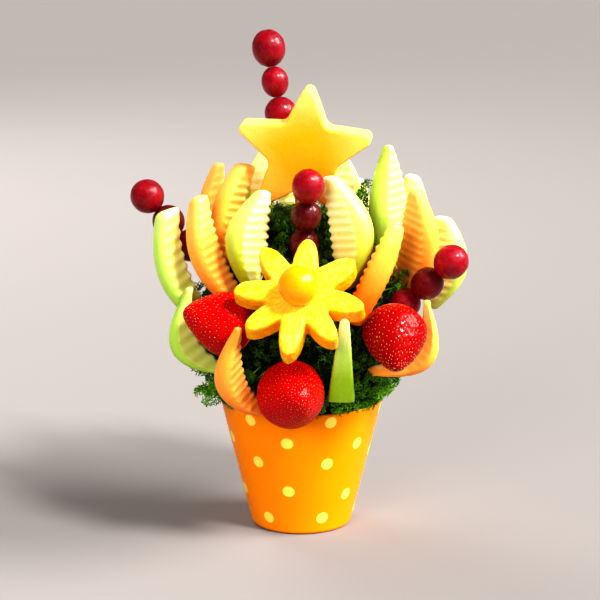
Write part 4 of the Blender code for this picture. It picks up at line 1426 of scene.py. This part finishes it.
def skewer_axis(node):
    """Both ends and the radius of a straight round stick, from its CAD node."""
    places = corners_of(node)
    middle = places.mean(axis=0)
    _, _, axes = np.linalg.svd(places - middle, full_matrices=False)
    reach = (places - middle) @ axes[0]
    radius = float(np.linalg.norm((places - middle) - np.outer(reach, axes[0]), axis=1).max())
    ends = sorted((Vector(middle + axes[0] * reach.min()), Vector(middle + axes[0] * reach.max())),
                  key=lambda end: end.xy.length)
    return ends[0], ends[1], radius


# Rows of dots on the pot: height as a share of the pot's, the turn of the first dot in
# degrees from the front, and how far every other dot stands above or below the row.
DOT_ROWS = ((0.928, 21.0, 0.4), (0.742, 49.0, -2.3), (0.587, 21.5, 0.3), (0.333, 48.0, -2.9),
            (0.128, 22.5, 0.6))
DOTS_IN_ROW = 6
# One over the width of a dot's soft edge, in metres.
DOT_SHARPNESS = 4000.0
# The foot's radius as a share of the rim's, and how round its edge is.
POT_FOOT_SHARE = 0.607
POT_FOOT_ROUND = 3.0
POT_SIDES = 128
POT_ROUND_STEPS = 6


class BOUQUET_OT_pot(bpy.types.Operator):
    """Models the tapered pot from a disc by raising and widening its rim"""

    bl_idname = "bouquet.pot"
    bl_label = "Pot"

    def execute(self, context):
        look = settings("pot")
        rim, _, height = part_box("pot")[1]
        foot = rim * POT_FOOT_SHARE
        edge = look.rim_round
        bend = POT_FOOT_ROUND * MM

        def wall(z):
            return foot + (rim - foot) * z / height

        rings = []
        for step in range(1, POT_ROUND_STEPS + 1):
            swing = math.radians(90 * step / POT_ROUND_STEPS)
            rings.append((wall(bend) - bend + bend * math.sin(swing), bend - bend * math.cos(swing)))
        for share_up in (0.2, 0.4, 0.6, 0.8, 0.95):
            rings.append((wall(height * share_up), height * share_up))
        for step in range(POT_ROUND_STEPS + 1):
            swing = math.radians(180 * step / POT_ROUND_STEPS)
            rings.append((rim - look.wall / 2 + look.wall / 2 * math.cos(swing),
                          height - edge + edge * math.sin(swing)))
        rings += [(wall(height * 0.5) - look.wall, height * 0.5),
                  (wall(look.floor * 2) - look.wall, look.floor * 1.5),
                  (wall(look.floor) - 2.5 * look.wall, look.floor)]
        flat = wall(0) - 1.2 * bend
        pot = start_from(bpy.ops.mesh.primitive_circle_add, vertices=POT_SIDES, radius=flat,
                         fill_type="NGON")
        draw_up(pot, flat, 0.0, rings)
        set_down(pot, "pot", "glazed", (0, 0, 0), Matrix.Identity(3), pot_material(height, rim),
                 "pot")
        return {"FINISHED"}


# ---- parsley -------------------------------------------------------------------------

# How far the core stays inside the mound's outline and off the pot's wall.
CORE_DEPTH = 2.0
CORE_GAP = 1.0
# Leaves grow above this height.
LEAF_FLOOR = 92.5
RIM_TUFTS = 52
# Lobes of each leaf shape, and how much they rise, curl and twist.
LEAF_SHAPES = ((5, 0.16, 0.12, 0.5), (5, 0.26, 0.3, 0.8), (4, 0.1, 0.25, 1.1))
# The radius of a leaf's root, against the leaf's reach.
LEAF_ROOT = 0.16
# A tuft keeps this far off the fruit, and is full-sized from half of the room away.
TUFT_CLEARANCE = 1.4
TUFT_ROOM = 14.0
# How far the outermost leaf of a tuft leans, in radians.
TUFT_LEAN = 1.25
# A stem shows under this share of the tufts that stand this far off the core.
STEM_SHARE = 0.4
STEM_DEPTH = 4.5
# Leaf corners nearer to the fruit or pot than the first distance move out to the second.
LEAF_TOUCHES = 0.4
LEAF_GAP = 0.5


def solid_of(names):
    """A search tree over the CAD nodes named."""
    corners = []
    faces = []
    for name in names:
        mesh = frame["nodes"][name].data
        first = len(corners)
        corners += [vert.co.copy() for vert in mesh.vertices]
        faces += [[first + number for number in face.vertices] for face in mesh.polygons]
    return BVHTree.FromPolygons(corners, faces)


def model_core():
    """The parsley's core: it fills the pot and rises a little under the leaves."""
    look = settings("pot")
    rim, _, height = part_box("pot")[1]
    foot = rim * POT_FOOT_SHARE
    gap = look.wall + CORE_GAP * MM
    rings = [(rim - gap - CORE_GAP * MM, height - 2 * MM),
             (rim - gap - CORE_GAP * MM, height + 1.5 * MM)]
    for radius, up in MOUND:
        sunk = 0.6 * CORE_DEPTH if up > 150 else 0.0
        rings.append(((radius - CORE_DEPTH) * MM, (up - sunk) * MM))
    start_radius = foot + (rim - foot) * look.floor / height - gap - 1.5 * MM
    level = look.floor + 0.5 * MM
    core = start_from(bpy.ops.mesh.primitive_circle_add, vertices=72, radius=start_radius,
                      fill_type="NGON", location=(0, 0, level))
    settle(core)
    draw_up(core, start_radius, level, rings)
    return core


def cut_pockets(core, names):
    """Cuts the room that the fruit takes out of the core."""
    others = bpy.data.collections.new("Fruit to cut away")
    bpy.context.scene.collection.children.link(others)
    for name in names:
        cutter = bpy.data.objects.new(name + "_pocket", frame["nodes"][name].data.copy())
        others.objects.link(cutter)
        with editing(cutter):
            pick_all()
            bpy.ops.mesh.remove_doubles(threshold=0.01 * MM)
    apply_modifier(core, "Pockets", "BOOLEAN", operation="DIFFERENCE", operand_type="COLLECTION",
                   collection=others, solver="EXACT")
    for cutter in list(others.objects):
        discard(cutter)
    bpy.data.collections.remove(others)


def curled_leaf(lobes, rise, curl, twist):
    """A parsley leaflet of reach 1: narrow lobes that spread from its root, curl and twist."""
    leaf = start_from(bpy.ops.mesh.primitive_circle_add, vertices=2 * lobes, radius=LEAF_ROOT,
                      fill_type="TRIFAN")
    with editing(leaf, "EDGE"):
        for lobe in range(lobes):
            turn = 2 * math.pi * (2 * lobe + 0.5) / (2 * lobes)
            way = Vector((math.sin(turn), math.cos(turn), 0))
            middle = way * LEAF_ROOT
            pick(leaf, "edges", lambda part: part.is_boundary and
                 ((part.verts[0].co + part.verts[1].co) / 2 - middle).xy.length < 0.06)
            axes = pose(Vector((0, 0, 1)), way).transposed()
            angle = twist if lobe % 3 else -twist
            lean = 1.0 if lobe % 2 else 0.7
            steps = ((0.3, rise, 2.3), (0.3, rise * 0.4, 1.25), (0.22, -curl * lean, 0.45))
            for out, lift, size in steps:
                step = way * out + Vector((0, 0, lift * lean))
                middle = middle + step
                bpy.ops.mesh.extrude_edges_move(TRANSFORM_OT_translate={"value": step})
                scale_picked(size, size, 1, middle)
                bpy.ops.transform.rotate(value=angle, orient_axis="X", orient_matrix=axes,
                                         center_override=middle)
    return leaf


# How many ways out of a spot are tried, how far they lean in radians and how far they reach.
OPEN_WAYS = 14
OPEN_LEAN = 1.2
OPEN_REACH = 70.0


def openness(place, normal, fruit):
    """Share of the ways out from a spot, round its normal, that no fruit closes off."""
    axes = pose(normal, normal.orthogonal())
    free = 0
    for number in range(OPEN_WAYS):
        turn = GOLDEN_ANGLE * number
        lean = OPEN_LEAN * math.sqrt((number + 0.5) / OPEN_WAYS)
        flat = math.sin(lean)
        way = axes @ Vector((flat * math.cos(turn), flat * math.sin(turn), math.cos(lean)))
        free += fruit.ray_cast(place + 2 * MM * normal, way, OPEN_REACH * MM)[0] is None
    return free / OPEN_WAYS


def surface_spots(node, spacing, draw):
    """Places and normals spread over a CAD node's surface, that far apart or a little more."""
    mesh = node.data
    mesh.calc_loop_triangles()
    corners = corners_of(node)
    triangles = np.array([tri.vertices for tri in mesh.loop_triangles])
    a, b, c = (corners[triangles[:, i]] for i in range(3))
    normals = np.cross(b - a, c - a)
    areas = np.linalg.norm(normals, axis=1) / 2
    normals = normals / np.maximum(areas[:, None] * 2, 1e-12)
    count = int(6 * areas.sum() / spacing ** 2)
    chosen = draw.choice(len(areas), size=count, p=areas / areas.sum())
    u, v = draw.random(count), draw.random(count)
    fold = u + v > 1
    u[fold], v[fold] = 1 - u[fold], 1 - v[fold]
    places = a[chosen] + (b - a)[chosen] * u[:, None] + (c - a)[chosen] * v[:, None]
    taken = {}
    for place, normal in zip(places, normals[chosen]):
        cell = tuple((place // spacing).astype(int))
        near = (taken.get((cell[0] + i, cell[1] + j, cell[2] + k), ())
                for i in (-1, 0, 1) for j in (-1, 0, 1) for k in (-1, 0, 1))
        if all(((place - other) ** 2).sum() >= spacing ** 2 for group in near for other in group):
            taken.setdefault(cell, []).append(place)
            yield Vector(place), Vector(normal)


class BOUQUET_OT_parsley(bpy.types.Operator):
    """Models the parsley: a core with pockets for the fruit and a coat of curled leaves"""

    bl_idname = "bouquet.parsley"
    bl_label = "Parsley"

    def execute(self, context):
        look = settings("parsley")
        node = frame["nodes"]["parsley"]
        fruit = sorted(name for name in frame["nodes"] if name not in ("parsley", "pot"))
        core = model_core()
        subdivide_smooth(core, 1)
        cut_pockets(core, fruit)
        hand_over(core, "parsley_core", core_material(), "parsley", "parsley")
        self.add_leaves(look, node, solid_of(fruit), solid_of([*fruit, "pot"]),
                        BVHTree.FromObject(core, context.evaluated_depsgraph_get()))
        return {"FINISHED"}

    def add_leaves(self, look, node, fruit, fruit_and_pot, core):
        """Covers the parsley with tufts of three kinds of leaf, and puts stems under some."""
        draw = np.random.default_rng(look.seed)
        templates = [curled_leaf(*shape) for shape in LEAF_SHAPES]
        placed = [[] for _ in templates]
        tones_and_shade = [[] for _ in templates]
        stems = []
        spots = [spot for spot in surface_spots(node, look.spacing, draw)
                 if spot[0].z > LEAF_FLOOR * MM]
        for place, normal in [*spots, *self.rim_spots(draw)]:
            away = fruit.find_nearest(place)[3]
            if away < TUFT_CLEARANCE * MM:
                continue
            up = (normal + Vector(draw.normal(0.0, 0.2, 3)) + Vector((0, 0, 0.2))).normalized()
            reach = look.tuft * draw.uniform(0.8, 1.1) * min(1.0, 0.5 + away / (TUFT_ROOM * MM))
            tone = draw.random()
            # Painted shade: the less the fruit leaves open round a tuft, the darker its leaves.
            light = 0.1 + openness(place, normal.normalized(), fruit) ** 1.2
            tuft = stand(place - up * 0.4 * reach, pose(up, up.orthogonal()))
            for leaf in range(look.crowd):
                around = GOLDEN_ANGLE * leaf + draw.uniform(-0.3, 0.3)
                tilt = TUFT_LEAN * math.sqrt(leaf / look.crowd) + draw.uniform(-0.15, 0.15)
                size = reach * draw.uniform(0.5, 0.72)
                spin = draw.uniform(0, 2 * math.pi)
                at = (tuft @ Matrix.Rotation(around, 4, "Z") @ Matrix.Rotation(tilt, 4, "Y")
                      @ Matrix.Translation((0, 0, 0.62 * reach)) @ Matrix.Rotation(spin, 4, "Z")
                      @ Matrix.Scale(size, 4))
                kind = draw.integers(len(templates))
                placed[kind].append(np.array(at))
                tones_and_shade[kind].append(light * (0.15 + 0.55 * tone + 0.3 * draw.random()))
            root, root_normal, _, depth = core.find_nearest(place)
            if depth > STEM_DEPTH * MM and draw.random() < STEM_SHARE:
                stems.append((root - root_normal * MM, place))
        finish = leaf_material()
        for number, (template, matrices, tone_and_shade) in enumerate(zip(templates, placed, tones_and_shade), 1):
            leaves = joined_copies(f"parsley_leaves_{number}", template, matrices)
            rims = np.linalg.norm(corners_of(template)[:, :2], axis=1)
            marks = np.zeros((len(matrices), len(rims), 3))
            marks[:, :, 0] = np.array(tone_and_shade)[:, None]
            marks[:, :, 1] = rims[None, :]
            mark(leaves, "leaf", marks.reshape(-1, 3))
            self.press_off(leaves, fruit_and_pot)
            hand_over(leaves, f"parsley_leaves_{number}", finish, "parsley")
            discard(template)
        self.add_stems(stems, finish)

    def rim_spots(self, draw):
        """Places where leaves hang over the pot's rim, and the way they hang."""
        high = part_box("pot")[1]
        for number in range(RIM_TUFTS):
            turn = 2 * math.pi * (number + draw.uniform(-0.3, 0.3)) / RIM_TUFTS
            way = Vector((math.cos(turn), math.sin(turn), 0.0))
            if math.sin(3 * turn + 3.9) + draw.uniform(-0.8, 0.8) > -0.3:
                place = way * (high.x - 1.0 * MM) + Vector((0, 0, high.z + 1.6 * MM))
                yield place, way - Vector((0, 0, 0.2))

    def press_off(self, leaves, fruit):
        """Moves the corners of leaves that reach into the fruit or pot out to its surface."""
        places = corners_of(leaves)
        for number, place in enumerate(places):
            spot = Vector(place)
            near, normal, _, away = fruit.find_nearest(spot, 8 * MM)
            if near is not None and ((spot - near).dot(normal) < 0 or away < LEAF_TOUCHES * MM):
                places[number] = near + normal * LEAF_GAP * MM
        leaves.data.vertices.foreach_set("co", places.ravel())
        leaves.data.update()

    def add_stems(self, stems, finish):
        """Adds one thin rod from the core to each tuft given."""
        rod = start_from(bpy.ops.mesh.primitive_cone_add, vertices=5, radius1=0.6 * MM,
                         radius2=0.35 * MM, depth=1.0, location=(0, 0, 0.5), end_fill_type="NOTHING")
        settle(rod)
        places = []
        for root, end in stems:
            way = end - root
            at = stand(root, pose(way, way.orthogonal()))
            places.append(np.array(at @ Matrix.Diagonal((1, 1, way.length, 1))))
        piece = joined_copies("parsley_stems", rod, places)
        mark(piece, "leaf", np.tile(np.array([0.9, 0.6, 0.0]), (len(piece.data.vertices), 1)))
        hand_over(piece, "parsley_stems", finish, "parsley")
        discard(rod)


# ---- stage ---------------------------------------------------------------------------

VIEW_MIDDLE = Vector((-0.001, 0.0, 0.156))
LAMP_COLOUR = (1.0, 0.985, 0.965)
SKY_COLOUR = (1.0, 0.985, 0.975, 1.0)
SENSOR_WIDTH = 36.0
FLOOR_SIZE = 24.0


def add_light(name, kind, place, strength, spread):
    """Adds a distant light of that angle, or a round softbox of that width that gives no glints."""
    lamp = bpy.data.lights.new(name, kind)
    if kind == "SUN":
        lamp.angle = spread
    else:
        lamp.shape = "DISK"
        lamp.size = spread
    lamp.energy = strength
    lamp.color = LAMP_COLOUR
    light = bpy.data.objects.new(name, lamp)
    light.location = place
    light.rotation_euler = (Vector(place) - VIEW_MIDDLE).to_track_quat("Z", "Y").to_euler()
    light.visible_glossy = kind == "SUN"
    bpy.context.scene.collection.objects.link(light)


class BOUQUET_OT_stage(bpy.types.Operator):
    """Sets up the pale floor, the soft lights and the camera"""

    bl_idname = "bouquet.stage"
    bl_label = "Stage"

    def execute(self, context):
        look = settings("stage")
        floor = start_from(bpy.ops.mesh.primitive_plane_add, size=FLOOR_SIZE)
        floor.name = "floor"
        finish, nodes, surface = new_material("Pale floor", Roughness=1.0, Specular_IOR_Level=0.0)
        tone = nodes.noise(nodes.place(), 3.0, 2.0)
        cloud = nodes.span(tone, 0.3, 0.7, 0.0, 0.004)
        nodes.feed_all(surface, Base_Color=nodes.mix(cloud, look.floor, look.floor_cloud))
        floor.data.materials.append(finish)
        add_light("key", "SUN", (0.85, -0.78, 1.32), look.key, math.radians(13))
        add_light("side", "SUN", (1.3, -0.12, 1.07), look.side, math.radians(30))
        add_light("fill", "AREA", (-0.8, -1.9, 1.0), look.fill, 1.1)
        add_light("back", "AREA", (-1.0, 1.5, 1.4), look.fill, 1.1)
        world = bpy.data.worlds.new("Soft studio")
        context.scene.world = world
        world.use_nodes = True
        sky = world.node_tree.nodes["Background"]
        sky.inputs["Color"].default_value = SKY_COLOUR
        sky.inputs["Strength"].default_value = look.sky
        lens = bpy.data.cameras.new("camera")
        lens.lens = look.lens
        lens.sensor_width = SENSOR_WIDTH
        camera = bpy.data.objects.new("camera", lens)
        away = Vector((0.0, -math.cos(look.elevation), math.sin(look.elevation)))
        camera.location = VIEW_MIDDLE + away * look.distance
        camera.rotation_euler = away.to_track_quat("Z", "Y").to_euler()
        context.scene.collection.objects.link(camera)
        context.scene.camera = camera
        context.scene.view_settings.view_transform = "Standard"
        context.scene.view_settings.look = "High Contrast"
        return {"FINISHED"}


class BOUQUET_PT_panel(bpy.types.Panel):
    """Lists the steps that make the bouquet"""

    bl_idname = "BOUQUET_PT_panel"
    bl_label = "Fruit bouquet"
    bl_space_type = "VIEW_3D"
    bl_region_type = "UI"
    bl_category = "Fruit bouquet"

    def draw(self, context):
        for step in STEPS:
            self.layout.operator(step.bl_idname)
        for name in SETTINGS:
            group = settings(name)
            box = self.layout.box()
            box.label(text=name.title())
            for key in group.__annotations__:
                box.prop(group, key)


SETTINGS = {
    "pot": PotSettings,
    "melon": MelonSettings,
    "berry": BerrySettings,
    "pineapple": PineappleSettings,
    "skewer": SkewerSettings,
    "parsley": ParsleySettings,
    "stage": StageSettings,
}
STEPS = (BOUQUET_OT_stage, BOUQUET_OT_pot, BOUQUET_OT_wedges, BOUQUET_OT_grapes,
         BOUQUET_OT_strawberries, BOUQUET_OT_star, BOUQUET_OT_daisy, BOUQUET_OT_ball,
         BOUQUET_OT_skewers, BOUQUET_OT_parsley)


def register():
    for kind in (*SETTINGS.values(), *STEPS, BOUQUET_PT_panel):
        bpy.utils.register_class(kind)
    for name, kind in SETTINGS.items():
        setattr(bpy.types.Scene, "bouquet_" + name, PointerProperty(type=kind))


def unregister():
    for name in SETTINGS:
        delattr(bpy.types.Scene, "bouquet_" + name)
    for kind in reversed((*SETTINGS.values(), *STEPS, BOUQUET_PT_panel)):
        bpy.utils.unregister_class(kind)


def main():
    register()
    for step in STEPS:
        family, name = step.bl_idname.split(".")
        getattr(getattr(bpy.ops, family), name)()


if __name__ == "__main__":
    main()
